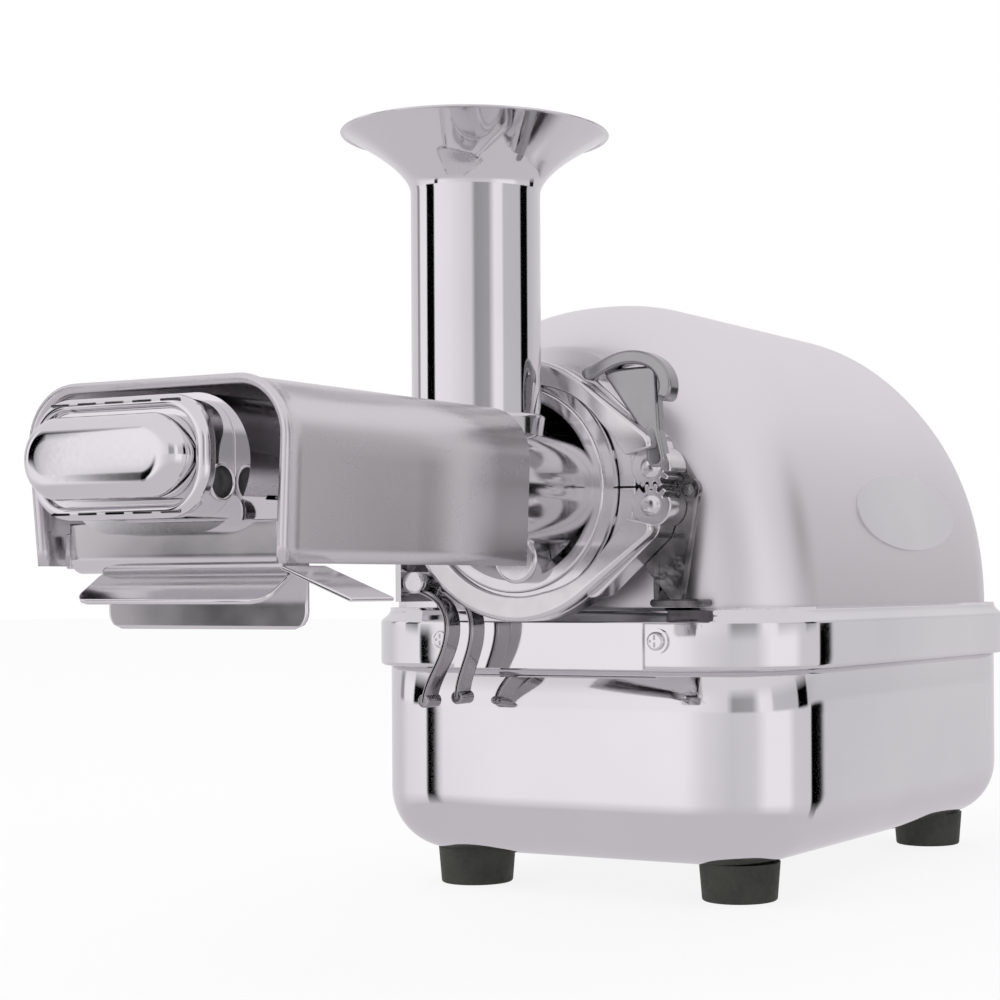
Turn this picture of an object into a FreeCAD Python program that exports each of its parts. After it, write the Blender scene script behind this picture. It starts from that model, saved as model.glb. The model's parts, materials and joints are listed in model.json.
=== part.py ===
import FreeCAD, Part
import math
import os

from FreeCAD import Vector

# Twin-gear cold press juicer: a motor body on four feet, and in front of it a feed hopper,
# a twin barrel, a strainer under a cover and a pulp outlet, held on by a hinged clamp.
# Millimetres. +Z is up, the barrel points to -Y, and y = 0 is the front of the trim band
# while the pieces are made. They are then moved so that the origin is the centre of the
# whole juicer's footprint, on the surface that it stands on.

os.makedirs("parts", exist_ok=True)

# Motor body
band_width = 190.0
band_length = 269.0
band_bottom = 87.3
band_top = 110.0
band_corner = 40.0
band_bevel = 4.5
band_edge = 1.5
tub_inset = 4.0
tub_bottom = 14.5
tub_edge = 24.0
sheet = 1.5
seat_gap = 0.15
dome_inset = 5.0
dome_top = 228.0
dome_power = 2.3
dome_crest_front = 57.0
dome_front_run = 94.0
dome_rear_run = 86.0
dome_rear_lip = 4.0
dome_rear_corner = 46.0
dome_sections = (0, 0.006, 0.019, 0.042, 0.077, 0.124, 0.178, 0.239, 0.347, 0.483, 0.618,
                 0.653, 0.73, 0.792, 0.838, 0.88, 0.915, 0.946, 0.973, 0.99, 1)
flange_height = 3.0
foot_radius = 15.4
foot_side = 36.3
foot_front = 41.4
foot_back = 33.5
foot_taper = 1.2
foot_screw = 2.0
foot_screw_head = 4.0
bar_half = 41.0
bar_height = 17.0
bar_drop = 2.0
bar_thickness = 1.0
ear_screw_x = 46.5
ear_screw_z = 98.0
ear_radius = 4.6
ear_head_radius = 3.4
ear_head_height = 1.4
ear_slot = 0.9
badge_back = 122.0
badge_z = 147.5
badge_length = 104.0
badge_height = 31.0
badge_proud = 0.8

# Drive
axis_z = 153.0
axis_half = 15.0
output_teeth = 20
output_module = 1.5
wheel_teeth = 56
wheel_module = 1.5
pinion_teeth = 14
motor_wheel_teeth = 60
motor_module = 1.25
motor_pinion_teeth = 14
pressure_angle = 20.0
backlash = 0.16
shaft_radius = 6.0
middle_radius = 5.0
motor_shaft_radius = 5.0
run_clearance = 0.05
end_float = 0.6
tang_half = 3.2
tang_length = 9.0
motor_z = 100.0
output_gear_front = 30.0
output_gear_width = 12.0
wheel_front = 45.0
wheel_width = 8.0
motor_gear_front = 56.0
motor_gear_width = 7.0
gearbox_front = 23.0
gearbox_joint = 54.0
gearbox_rear = 70.0
gearbox_wall = 4.0
gear_room = 2.5
bush_wall = 3.0
bush_length = 6.0
lightening_hole = 6.5
lightening_circle = 22.0
motor_room = 12.0
stator_radius = 57.0
rotor_radius = 30.0
air_gap = 0.5
winding_length = 16.0
winding_room = 3.0
shield_wall = 3.0
fan_gap = 6.0
fan_back = 77.0
fan_width = 12.0
fan_radius = 42.0
fan_blades = 9
fan_sheet = 1.6
base_plate_z = 20.0
base_plate_sheet = 2.0
base_plate_past = 14.0
post_radius = 4.5
cradle_width = 8.0
cradle_half = 42.0
cradle_inset = 6.0
stand_half = 14.0

# Rear wall
inlet_z = 52.0
inlet_side = 55.0
inlet_half = 14.0
inlet_rise = 10.0
inlet_wall = 2.5
inlet_rim = 3.0
inlet_depth = 18.0
switch_side = 51.0
switch_half = 10.5
switch_rise = 14.0
switch_wall = 1.5
switch_rim = 2.0
switch_depth = 16.0
rocker_tilt = 10.0
capacitor_side = 29.0
capacitor_back = 57.0
capacitor_radius = 14.5
capacitor_height = 62.0
board_side = 15.0
board_width = 30.0
board_thick = 1.6
board_rise = 4.0

# Juicing unit
flange_radius = 41.0
flange_thickness = 7.0
drive_flange_back = -8.0
parting_y = -14.5
neck_radius = 36.0
barrel_radius = 20.0
bore_radius = 17.3
barrel_front = -90.0
screen_front = -212.0
screen_radius = 19.6
screen_end = 4.0
slot_width = 1.4
slot_length = 9.0
slot_pitch = 12.0
auger_radius = 17.0
auger_core = 12.4
auger_pitch = 12.0
flight_width = 3.0
auger_journal = 6.0
auger_neck = 8.0
auger_clearance = 0.25
hopper_y = -46.6
hopper_radius = 22.7
hopper_rim = 47.1
hopper_top = 277.3
flare_height = 20.7
flare_power = 1.65
hopper_wall = 1.2
hopper_seat = 0.5
mouth_radius = 20.0
collar_radius = 24.6
collar_height = 5.0
spout_x = 5.0
spout_drop = 25.0
spout_radius = 9.0
spout_length = 9.0
cover_front = -212.8
cover_rear = -86.9
cover_top = 176.8
cover_half = 47.2
cover_corner = 17.0
cover_bottom = 124.6
cover_lean = 1.5
cover_tuck = 2.0
cover_sheet = 1.2
cover_rim = 2.6
cover_roll = 0.6
dish_front = -228.0
dish_thick = 5.0
dish_half = 32.0
dish_low = 137.0
dish_high = 171.0
dish_corner = 14.0
dish_wall = 2.0
dish_recess = 2.0
dish_notches = 5
notch_pitch = 10.0
cap_front = -236.5
cap_half = 28.4
cap_height = 23.2
cap_edge = 5.0
cap_gap = 0.3
cap_stem = 3.0
cap_stop = 3.5
spring_wire = 0.5
spring_turns = 4
pulp_hole = 7.0
pulp_drop = 6.0
chute_y = -205.0
chute_left = -38.0
chute_right = 39.0
chute_top = 137.0
chute_low = 123.0
chute_flap_low = 114.0
chute_rear_low = 106.0
chute_rear_half = 37.0
chute_sheet = 1.2
chute_corner = 5.0
wing_inner = 40.0
wing_outer = 62.0
wing_depth = 20.0
tab_height = 11.0

# Clamp
clamp_outer = 47.7
clamp_lip = 38.6
clamp_gap = 0.3
lip_width = 2.0
pivot_x = 54.0
pivot_module = 1.1
pivot_teeth = 12
pivot_pin = 2.5
lug_front = -18.0
lug_radius = 7.9
tooth_from = 12.0
tooth_to = 128.0
arm_split = 10.0
arm_root_angle = 49.0
arm_root_reach = 44.9
arm_half = 5.2
arm_knee_angle = 17.0
elbow_out = 2.0
elbow_rise = 14.8
elbow_radius = 4.6
pad_rise = 47.8
pad_thick = 4.6
pad_depth = 11.0
pad_line = ((-22.5, -7.2), (-17.5, -5.5), (-11.5, -3.2), (-4.3, -2.4), (2.0, -4.1), (6.5, -7.6), (8.3, -12.3),
            (7.8, -16.0))
stem_front = 3.0
stem_depth = 5.0
pin_head = 3.9
pin_head_height = 1.5
latch_x = -40.0
latch_z = 119.6
latch_ear_radius = 4.2
lever_width = 9.0
lever_sheet = 2.2
lever_gap = 0.4
lever_bends = ((-1.0, -2.0), (6.0, -5.0), (11.5, -10.5), (12.6, -19.0), (8.5, -30.0), (4.2, -38.0),
               (2.6, -43.6))
ear_offset = 6.0
ear_width = 3.0
lever_eye = 4.0
cam_throw = 2.5
rear_lever_turn = 8.0
bracket_back = -2.5
bracket_foot = 3.0
bracket_boss_x = 62.0
bracket_boss_z = 151.7
bracket_boss_radius = 4.6
bracket_boss_bore = 2.6
catch_plate = 2.0

# Worked out from the sizes above
nose_reach = -cap_front
origin_shift = (nose_reach - band_length) / 2
tub_half = band_width / 2 - tub_inset
tub_rear = band_length - tub_inset
dome_half = band_width / 2 - dome_inset
dome_base = band_top - band_bevel
dome_rise = dome_top - dome_base
dome_front = dome_inset
dome_rear = band_length - dome_inset
dome_crest_rear = dome_rear - dome_rear_run
foot_x = band_width / 2 - foot_side
foot_rear = band_length - foot_back
foot_places = [(x, y) for y in (foot_front, foot_rear) for x in (-foot_x, foot_x)]
badge_y = dome_rear - badge_back
inlet_x = inlet_side - tub_half
switch_x = tub_half - switch_side
capacitor_x = capacitor_side - tub_half
capacitor_y = band_length - capacitor_back
left_shaft = (-axis_half, axis_z)
right_shaft = (axis_half, axis_z)
motor_centre = (0.0, motor_z)
motor_gap = motor_module * (motor_pinion_teeth + motor_wheel_teeth) / 2
wheel_gap = wheel_module * (pinion_teeth + wheel_teeth) / 2
motor_gear_rear = motor_gear_front + motor_gear_width
output_front = parting_y - 1.0
auger_rear = output_front - 0.4
stator_front = gearbox_rear + motor_room + shield_wall + winding_room + winding_length
fan_front = band_length - fan_back
stator_rear = fan_front - fan_gap - shield_wall - winding_room - winding_length
flange_front = parting_y - flange_thickness
dish_back = dish_front + dish_thick
dish_middle = (dish_low + dish_high) / 2
clamp_front = flange_front - lip_width
clamp_back = drive_flange_back + lip_width
pivot_radius = pivot_module * pivot_teeth / 2
pivot_high = axis_z + pivot_radius
pivot_low = axis_z - pivot_radius
ear_front = clamp_front + ear_offset
front_lever = ear_front - lever_gap - lever_width
rear_lever = ear_front + ear_width + lever_gap


def save(name, shape):
    shape.translate(Vector(0, origin_shift, 0))
    shape.exportStep("parts/" + name + ".step")


def block(x0, x1, y0, y1, z0, z1):
    return Part.makeBox(x1 - x0, y1 - y0, z1 - z0, Vector(x0, y0, z0))


def rod_y(x, z, radius, y0, y1):
    return Part.makeCylinder(radius, y1 - y0, Vector(x, y0, z), Vector(0, 1, 0))


def rod_z(x, y, radius, z0, z1):
    return Part.makeCylinder(radius, z1 - z0, Vector(x, y, z0), Vector(0, 0, 1))


def rod_x(y, z, radius, x0, x1):
    return Part.makeCylinder(radius, x1 - x0, Vector(x0, y, z), Vector(1, 0, 0))


def one(pieces):
    solid = pieces[0].fuse(pieces[1:]) if len(pieces) > 1 else pieces[0]
    return solid.removeSplitter()


def group(pieces):
    return Part.makeCompound(pieces)


def edges_along(shape, axis):
    found = []
    for edge in shape.Edges:
        if len(edge.Vertexes) != 2:
            continue
        run = edge.Vertexes[1].Point - edge.Vertexes[0].Point
        if run.Length > 0.01 and abs(abs(run.dot(axis)) / run.Length - 1) < 1e-6:
            found.append(edge)
    return found


def edges_at(shape, z):
    return [e for e in shape.Edges if abs(e.BoundBox.ZMin - z) < 0.01 and abs(e.BoundBox.ZMax - z) < 0.01]


def edges_at_y(shape, y):
    return [e for e in shape.Edges if abs(e.BoundBox.YMin - y) < 0.01 and abs(e.BoundBox.YMax - y) < 0.01]


def rounded_slab(half, y0, y1, corner, z0, z1):
    slab = block(-half, half, y0, y1, z0, z1)
    return slab.makeFillet(corner, edges_along(slab, Vector(0, 0, 1)))


def polar(x, z, radius, angle):
    return x + radius * math.cos(angle), z + radius * math.sin(angle)


# A belt round circles that are listed anticlockwise, seen from the front
def belt(circles):
    normals = []
    count = len(circles)
    for i in range(count):
        xa, za, ra = circles[i]
        xb, zb, rb = circles[(i + 1) % count]
        span = math.hypot(xb - xa, zb - za)
        normals.append(math.atan2(zb - za, xb - xa) - math.acos((ra - rb) / span))
    edges = []
    for i in range(count):
        xa, za, ra = circles[i]
        xb, zb, rb = circles[(i + 1) % count]
        start = polar(xa, za, ra, normals[i])
        end = polar(xb, zb, rb, normals[i])
        edges.append(Part.LineSegment(Vector(start[0], 0, start[1]), Vector(end[0], 0, end[1])).toShape())
        turn = (normals[(i + 1) % count] - normals[i]) % (2 * math.pi)
        middle = polar(xb, zb, rb, normals[i] + turn / 2)
        last = polar(xb, zb, rb, normals[i] + turn)
        bend = [Vector(x, 0, z) for x, z in (end, middle, last)]
        edges.append(Part.Arc(*bend).toShape())
    return Part.Wire(Part.__sortEdges__(edges))


def plate(wire, y0, y1):
    solid = Part.Face(wire).extrude(Vector(0, y1 - y0, 0))
    solid.translate(Vector(0, y0, 0))
    return solid


def stadium(half, radius, y0, y1):
    return plate(belt([(-half, axis_z, radius), (half, axis_z, radius)]), y0, y1)


# A spur gear with flat-faceted involute flanks; a tooth is centred on the phase angle
def gear(teeth, module, x, z, y0, y1, phase):
    pitch = teeth * module / 2
    base = pitch * math.cos(math.radians(pressure_angle))
    tip = pitch + module
    root = pitch - 1.25 * module
    thick = math.pi / (2 * teeth) - backlash / (2 * pitch)
    flat = math.tan(math.radians(pressure_angle)) - math.radians(pressure_angle)
    flank = []
    for k in range(5):
        r = max(base, root) + (tip - max(base, root)) * k / 4
        roll = math.acos(base / r)
        flank.append((r, thick + flat - (math.tan(roll) - roll)))
    points = []
    for tooth in range(teeth):
        middle = phase + 2 * math.pi * tooth / teeth
        points.append(polar(x, z, root, middle - flank[0][1]))
        for r, half in flank:
            points.append(polar(x, z, r, middle - half))
        for r, half in reversed(flank):
            points.append(polar(x, z, r, middle + half))
        points.append(polar(x, z, root, middle + flank[0][1]))
    clean = [points[0]]
    for p in points[1:]:
        if math.hypot(p[0] - clean[-1][0], p[1] - clean[-1][1]) > 0.01:
            clean.append(p)
    ring = [Vector(p[0], 0, p[1]) for p in clean]
    return plate(Part.makePolygon(ring + [ring[0]]), y0, y1)


def mesh_phase(first, first_teeth, first_phase, second, second_teeth):
    line = math.atan2(second[1] - first[1], second[0] - first[0])
    lag = (line - first_phase) * first_teeth / second_teeth
    return line + math.pi + math.pi / second_teeth + lag


# Half-outline of the dome at a station along Y: width, then rise above its base
def dome_station(y, skin):
    half = dome_half - skin
    rise = dome_rise - skin
    front = dome_front + skin
    rear = dome_rear - skin
    width = half
    if y < front + band_corner:
        width = half - band_corner + math.sqrt(max(0, band_corner ** 2 - (front + band_corner - y) ** 2))
    if y > rear - dome_rear_corner:
        reach = y - rear + dome_rear_corner
        width = half - dome_rear_corner + math.sqrt(max(0, dome_rear_corner ** 2 - reach ** 2))
    height = rise
    if y < dome_crest_front:
        height = rise * math.sqrt(1 - ((dome_crest_front - y) / dome_front_run) ** 2)
    if y > dome_crest_rear:
        reach = (y - dome_crest_rear) / (rear + dome_rear_lip - dome_crest_rear)
        height = rise * (1 - reach ** dome_power) ** (1 / dome_power)
    return width, height


def dome_solid(skin, base):
    front = dome_front + skin
    rear = dome_rear - skin
    wires = []
    for share in dome_sections:
        y = front + share * (rear - front)
        width, height = dome_station(y, skin)
        points = []
        for k in range(25):
            t = math.pi * k / 24
            side = math.copysign(abs(math.cos(t)) ** (2 / dome_power), math.cos(t))
            lift = abs(math.sin(t)) ** (2 / dome_power)
            points.append(Vector(width * side, y, dome_base + height * lift))
        points[0].z = points[-1].z = base
        curve = Part.BSplineCurve()
        curve.interpolate(points)
        line = Part.LineSegment(points[-1], points[0])
        wires.append(Part.Wire([curve.toShape(), line.toShape()]))
    return Part.makeLoft(wires, True, False)


def make_base():
    tub_top = dome_base - flange_height
    outer = rounded_slab(tub_half, tub_inset, tub_rear, band_corner - tub_inset, tub_bottom, tub_top)
    outer = outer.makeFillet(tub_edge, edges_at(outer, tub_bottom))
    inner = rounded_slab(tub_half - sheet, tub_inset + sheet, tub_rear - sheet,
                         band_corner - tub_inset - sheet, tub_bottom + sheet, dome_top)
    inner = inner.makeFillet(tub_edge - sheet, edges_at(inner, tub_bottom + sheet))
    tub = outer.cut(inner)
    for x, y in foot_places:
        tub = tub.cut(rod_z(x, y, foot_screw + 0.2, 0, tub_bottom + 10))
    tub = tub.cut(block(inlet_x - inlet_half, inlet_x + inlet_half, tub_rear - 10, tub_rear + 1,
                        inlet_z - inlet_rise, inlet_z + inlet_rise))
    tub = tub.cut(block(switch_x - switch_half, switch_x + switch_half, tub_rear - 10, tub_rear + 1,
                        inlet_z - switch_rise, inlet_z + switch_rise))
    save("base_tub", tub)

    band = rounded_slab(band_width / 2, 0, band_length, band_corner, band_bottom, band_top)
    band = band.makeChamfer(band_bevel, edges_at(band, band_top))
    band = band.makeFillet(band_edge, edges_at(band, band_bottom))
    bore = rounded_slab(tub_half + seat_gap, tub_inset - seat_gap, tub_rear + seat_gap,
                        band_corner - tub_inset, band_bottom - 1, band_top + 1)
    band = band.cut(bore)
    for x in (-ear_screw_x, ear_screw_x):
        band = band.cut(rod_y(x, ear_screw_z, 1.6, -1, tub_inset + 1))
    save("trim_band", band)

    bar_z = ear_screw_z - bar_drop
    bar = rounded_slab(bar_half, -bar_thickness, 0, 0.3, bar_z - bar_height / 2, bar_z + bar_height / 2)
    save("front_bar", bar)

    screws = []
    head_front = -bar_thickness - ear_head_height
    for x in (-ear_screw_x, ear_screw_x):
        washer = rod_y(x, ear_screw_z, ear_radius, -bar_thickness, 0)
        head = rod_y(x, ear_screw_z, ear_head_radius, head_front, -bar_thickness)
        head = head.makeFillet(0.9, edges_at_y(head, head_front))
        shank = rod_y(x, ear_screw_z, 1.5, 0, tub_inset - 2 * seat_gap)
        long, short = 2.2, ear_slot / 2
        cross = [block(x - a, x + a, head_front - 1, head_front + 0.8, ear_screw_z - b, ear_screw_z + b)
                 for a, b in ((long, short), (short, long))]
        screws.append(one([washer, head, shank]).cut(one(cross)))
    save("band_screws", group(screws))

    flange = rounded_slab(tub_half - 0.1, tub_inset + 0.1, tub_rear - 0.1, band_corner - tub_inset,
                          dome_base - flange_height, dome_base)
    shell = one([dome_solid(0, dome_base), flange])
    shell = shell.cut(dome_solid(sheet, dome_base - 1))
    shell = shell.cut(rounded_slab(dome_half - 2 * sheet, dome_front + 2 * sheet, dome_rear - 3 * sheet,
                                   band_corner - 3 * sheet, dome_base - flange_height - 1, dome_base + 0.5))
    shell = shell.cut(rod_y(0, axis_z, neck_radius + seat_gap, -1, dome_front + 8))
    save("dome_cover", shell)

    face_x = badge_face()
    badge = Part.Ellipse(Vector(0, 0, 0), badge_length / 2, badge_height / 2)
    disc = Part.Face(Part.Wire(badge.toShape())).extrude(Vector(0, 0, 12))
    disc.rotate(Vector(0, 0, 0), Vector(1, 0, 0), 90)
    disc.rotate(Vector(0, 0, 0), Vector(0, 0, 1), 90)
    disc.translate(Vector(face_x - 6, badge_y, badge_z))
    skin = disc.common(dome_solid(-badge_proud, dome_base - 1))
    save("badge_plate", skin.cut(dome_solid(-0.02, dome_base - 2)))

    foot_names = ("foot_front_left", "foot_front_right", "foot_rear_left", "foot_rear_right")
    for name, (x, y) in zip(foot_names, foot_places):
        low = foot_radius - foot_taper
        foot = Part.makeCone(low, foot_radius, tub_bottom, Vector(x, y, 0), Vector(0, 0, 1))
        foot = foot.makeFillet(1.0, edges_at(foot, 0))
        foot = foot.cut(rod_z(x, y, foot_screw + 0.1, 2, tub_bottom + 1))
        foot = foot.cut(rod_z(x, y, foot_screw_head + 0.5, -1, 3))
        save(name, foot)
    screws = []
    for x, y in foot_places:
        head = rod_z(x, y, foot_screw_head, 1.0, 3.0)
        shank = rod_z(x, y, foot_screw, 3.0, base_plate_z + 2 * base_plate_sheet)
        screws.append(one([head, shank]))
    save("foot_screws", group(screws))


def badge_face():
    width, height = dome_station(badge_y, 0)
    lift = (badge_z - dome_base) / height
    return width * (1 - lift ** dome_power) ** (1 / dome_power)


def find_centre(a, b, from_a, from_b):
    span = math.hypot(b[0] - a[0], b[1] - a[1])
    along = (from_a ** 2 - from_b ** 2 + span ** 2) / (2 * span)
    off = math.sqrt(from_a ** 2 - along ** 2)
    ux, uz = (b[0] - a[0]) / span, (b[1] - a[1]) / span
    return a[0] + along * ux + off * uz, a[1] + along * uz - off * ux


middle_shaft = find_centre(motor_centre, left_shaft, motor_gap, wheel_gap)


def gear_radius(teeth, module):
    return teeth * module / 2 + module


def socket(x, y0, y1, half):
    return block(x - half, x + half, y0, y1, axis_z - half, axis_z + half)


def make_drive():
    gear_rear = output_gear_front + output_gear_width
    left_phase = 0.0
    right_phase = mesh_phase(left_shaft, output_teeth, left_phase, right_shaft, output_teeth)
    left = [rod_y(-axis_half, axis_z, shaft_radius, output_front, gearbox_rear - gearbox_wall - end_float),
            gear(output_teeth, output_module, -axis_half, axis_z, output_gear_front, gear_rear, left_phase)]
    right = [rod_y(axis_half, axis_z, shaft_radius, output_front, gear_rear + 1.5),
             gear(output_teeth, output_module, axis_half, axis_z, output_gear_front, gear_rear, right_phase)]
    for name, x, pieces in (("output_shaft_left", -axis_half, left), ("output_shaft_right", axis_half, right)):
        hollow = socket(x, output_front - 1, output_front + tang_length, tang_half + run_clearance)
        save(name, one(pieces).cut(hollow))

    wheel_rear = wheel_front + wheel_width
    wheel = gear(wheel_teeth, wheel_module, -axis_half, axis_z, wheel_front, wheel_rear, left_phase)
    wheel = wheel.cut(rod_y(-axis_half, axis_z, shaft_radius, wheel_front - 1, wheel_rear + 1))
    rim = wheel_teeth * wheel_module / 2 - 2.5 * wheel_module
    web = rod_y(-axis_half, axis_z, rim, wheel_front - 1, wheel_front + 2)
    web = web.cut(rod_y(-axis_half, axis_z, shaft_radius + 5, wheel_front - 1, wheel_front + 2))
    save("output_wheel", wheel.cut(web))

    middle_phase = mesh_phase(left_shaft, wheel_teeth, left_phase, middle_shaft, pinion_teeth)
    front_in = gearbox_front + gearbox_wall
    rear_in = gearbox_rear - gearbox_wall
    pinion_rear = wheel_rear + end_float
    pinion = gear(pinion_teeth, wheel_module, *middle_shaft, wheel_front - 1, pinion_rear, middle_phase)
    axle = rod_y(*middle_shaft, middle_radius, front_in + end_float, rear_in - end_float)
    save("middle_pinion_shaft", one([pinion, axle]))
    big = gear(motor_wheel_teeth, motor_module, *middle_shaft, motor_gear_front, motor_gear_rear, middle_phase)
    big = big.cut(rod_y(*middle_shaft, middle_radius, motor_gear_front - 1, motor_gear_rear + 1))
    for k in range(6):
        hx, hz = polar(*middle_shaft, lightening_circle, math.radians(60 * k))
        big = big.cut(rod_y(hx, hz, lightening_hole, motor_gear_front - 1, motor_gear_rear + 1))
    save("middle_wheel", big)

    rotor_phase = mesh_phase(middle_shaft, motor_wheel_teeth, middle_phase, motor_centre, motor_pinion_teeth)
    fan_rear = fan_front + fan_width
    shaft = rod_y(0, motor_z, motor_shaft_radius, motor_gear_front - 4, fan_rear + 2)
    pinion = gear(motor_pinion_teeth, motor_module, *motor_centre, motor_gear_front - 1, motor_gear_rear + 1,
                  rotor_phase)
    save("motor_shaft", one([shaft, pinion]))
    core = rod_y(0, motor_z, rotor_radius - air_gap, stator_front - 2, stator_rear + 2)
    save("motor_rotor", core.cut(rod_y(0, motor_z, motor_shaft_radius, stator_front - 3, stator_rear + 3)))
    hub = rod_y(0, motor_z, motor_shaft_radius + 6, fan_front, fan_rear)
    disc = rod_y(0, motor_z, fan_radius, fan_front, fan_front + 1.5)
    blades = []
    for k in range(fan_blades):
        blade = block(motor_shaft_radius + 4, fan_radius - 1, fan_front + 1, fan_rear,
                      motor_z - fan_sheet / 2, motor_z + fan_sheet / 2)
        blade.rotate(Vector(0, 0, motor_z), Vector(0, 1, 0), 360.0 * k / fan_blades)
        blades.append(blade)
    fan = one([hub, disc] + blades)
    save("cooling_fan", fan.cut(rod_y(0, motor_z, motor_shaft_radius, fan_front - 1, fan_rear + 1)))

    stator = rod_y(0, motor_z, stator_radius, stator_front, stator_rear)
    save("motor_stator", stator.cut(rod_y(0, motor_z, rotor_radius, stator_front - 1, stator_rear + 1)))
    for name, y0 in (("front_winding", stator_front - winding_length), ("rear_winding", stator_rear)):
        coil = rod_y(0, motor_z, stator_radius - 8, y0, y0 + winding_length)
        coil = coil.cut(rod_y(0, motor_z, rotor_radius + 3, y0 - 1, y0 + winding_length + 1))
        save(name, coil.makeFillet(3.5, edges_at_y(coil, y0) + edges_at_y(coil, y0 + winding_length)))

    # Each end shield is a cup over one winding, with the shaft's bearing in its middle
    room = winding_length + winding_room
    for name, seat, sign in (("front_shield", stator_front, -1), ("rear_shield", stator_rear, 1)):
        far = seat + sign * (room + shield_wall)
        y0, y1 = min(seat, far), max(seat, far)
        cup = rod_y(0, motor_z, stator_radius, y0, y1)
        hollow = sorted((seat, seat + sign * room))
        cup = cup.cut(rod_y(0, motor_z, stator_radius - shield_wall, hollow[0], hollow[1]))
        cup = cup.cut(rod_y(0, motor_z, motor_shaft_radius + bush_wall + 3, y0 - 1, y1 + 1))
        save(name, cup)
    rings = []
    race = motor_shaft_radius + bush_wall + 3
    for y0 in (stator_front - room - shield_wall, stator_rear + room - 3):
        outer = rod_y(0, motor_z, race, y0, y0 + shield_wall + 3)
        bore = rod_y(0, motor_z, motor_shaft_radius + run_clearance, y0 - 1, y0 + shield_wall + 4)
        rings.append(outer.cut(bore))
    save("motor_bearings", group(rings))

    motor_side = gear_radius(motor_pinion_teeth, motor_module) + gear_room + 4
    around = [(*left_shaft, gear_radius(wheel_teeth, wheel_module) + gear_room), (*motor_centre, motor_side),
              (*middle_shaft, gear_radius(motor_wheel_teeth, motor_module) + gear_room)]
    room = belt(around)
    hull = belt([(x, z, radius + gearbox_wall) for x, z, radius in around])
    case = plate(hull, gearbox_front, gearbox_joint).cut(plate(room, front_in, gearbox_joint + 1))
    lid = plate(hull, gearbox_joint, gearbox_rear).cut(plate(room, gearbox_joint - 1, rear_in))
    bush_radius = shaft_radius + bush_wall
    nose = rod_y(0, axis_z, neck_radius, drive_flange_back, gearbox_front)
    rim = rod_y(0, axis_z, flange_radius, parting_y, drive_flange_back)
    case = one([case, nose, rim])
    for x in (-axis_half, axis_half):
        case = case.cut(rod_y(x, axis_z, bush_radius, parting_y - 1, front_in + 1))
    mid_bush = middle_radius + bush_wall
    boss = rod_y(*middle_shaft, mid_bush + 3, front_in - 0.5, front_in + bush_length)
    case = one([case, boss])
    case = case.cut(rod_y(*middle_shaft, mid_bush, front_in, front_in + bush_length + 1))
    save("gearbox_case", case)
    lid = lid.cut(rod_y(-axis_half, axis_z, bush_radius, rear_in - 1, gearbox_rear - 1))
    lid = lid.cut(rod_y(*middle_shaft, mid_bush, rear_in - 1, gearbox_rear - 1))
    lid = lid.cut(rod_y(0, motor_z, motor_shaft_radius + bush_wall, rear_in - 1, gearbox_rear + 1))
    save("gearbox_lid", lid)

    bushes = [(x, axis_z, shaft_radius, bush_radius, parting_y + 1.5, front_in) for x in (-axis_half, axis_half)]
    bushes.append((*left_shaft, shaft_radius, bush_radius, rear_in - 2, gearbox_rear - 1))
    bushes.append((*middle_shaft, middle_radius, mid_bush, front_in, front_in + bush_length))
    bushes.append((*middle_shaft, middle_radius, mid_bush, rear_in - 2, gearbox_rear - 1))
    bushes.append((*motor_centre, motor_shaft_radius, motor_shaft_radius + bush_wall, rear_in - 2, gearbox_rear))
    rings = []
    for x, z, inner, outer, y0, y1 in bushes:
        rings.append(rod_y(x, z, outer, y0, y1).cut(rod_y(x, z, inner + run_clearance, y0 - 1, y1 + 1)))
    save("gearbox_bushes", group(rings))


# A box about a point of the rear wall
def wall_block(x, half, rise, y0, y1):
    return block(x - half, x + half, y0, y1, inlet_z - rise, inlet_z + rise)


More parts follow.
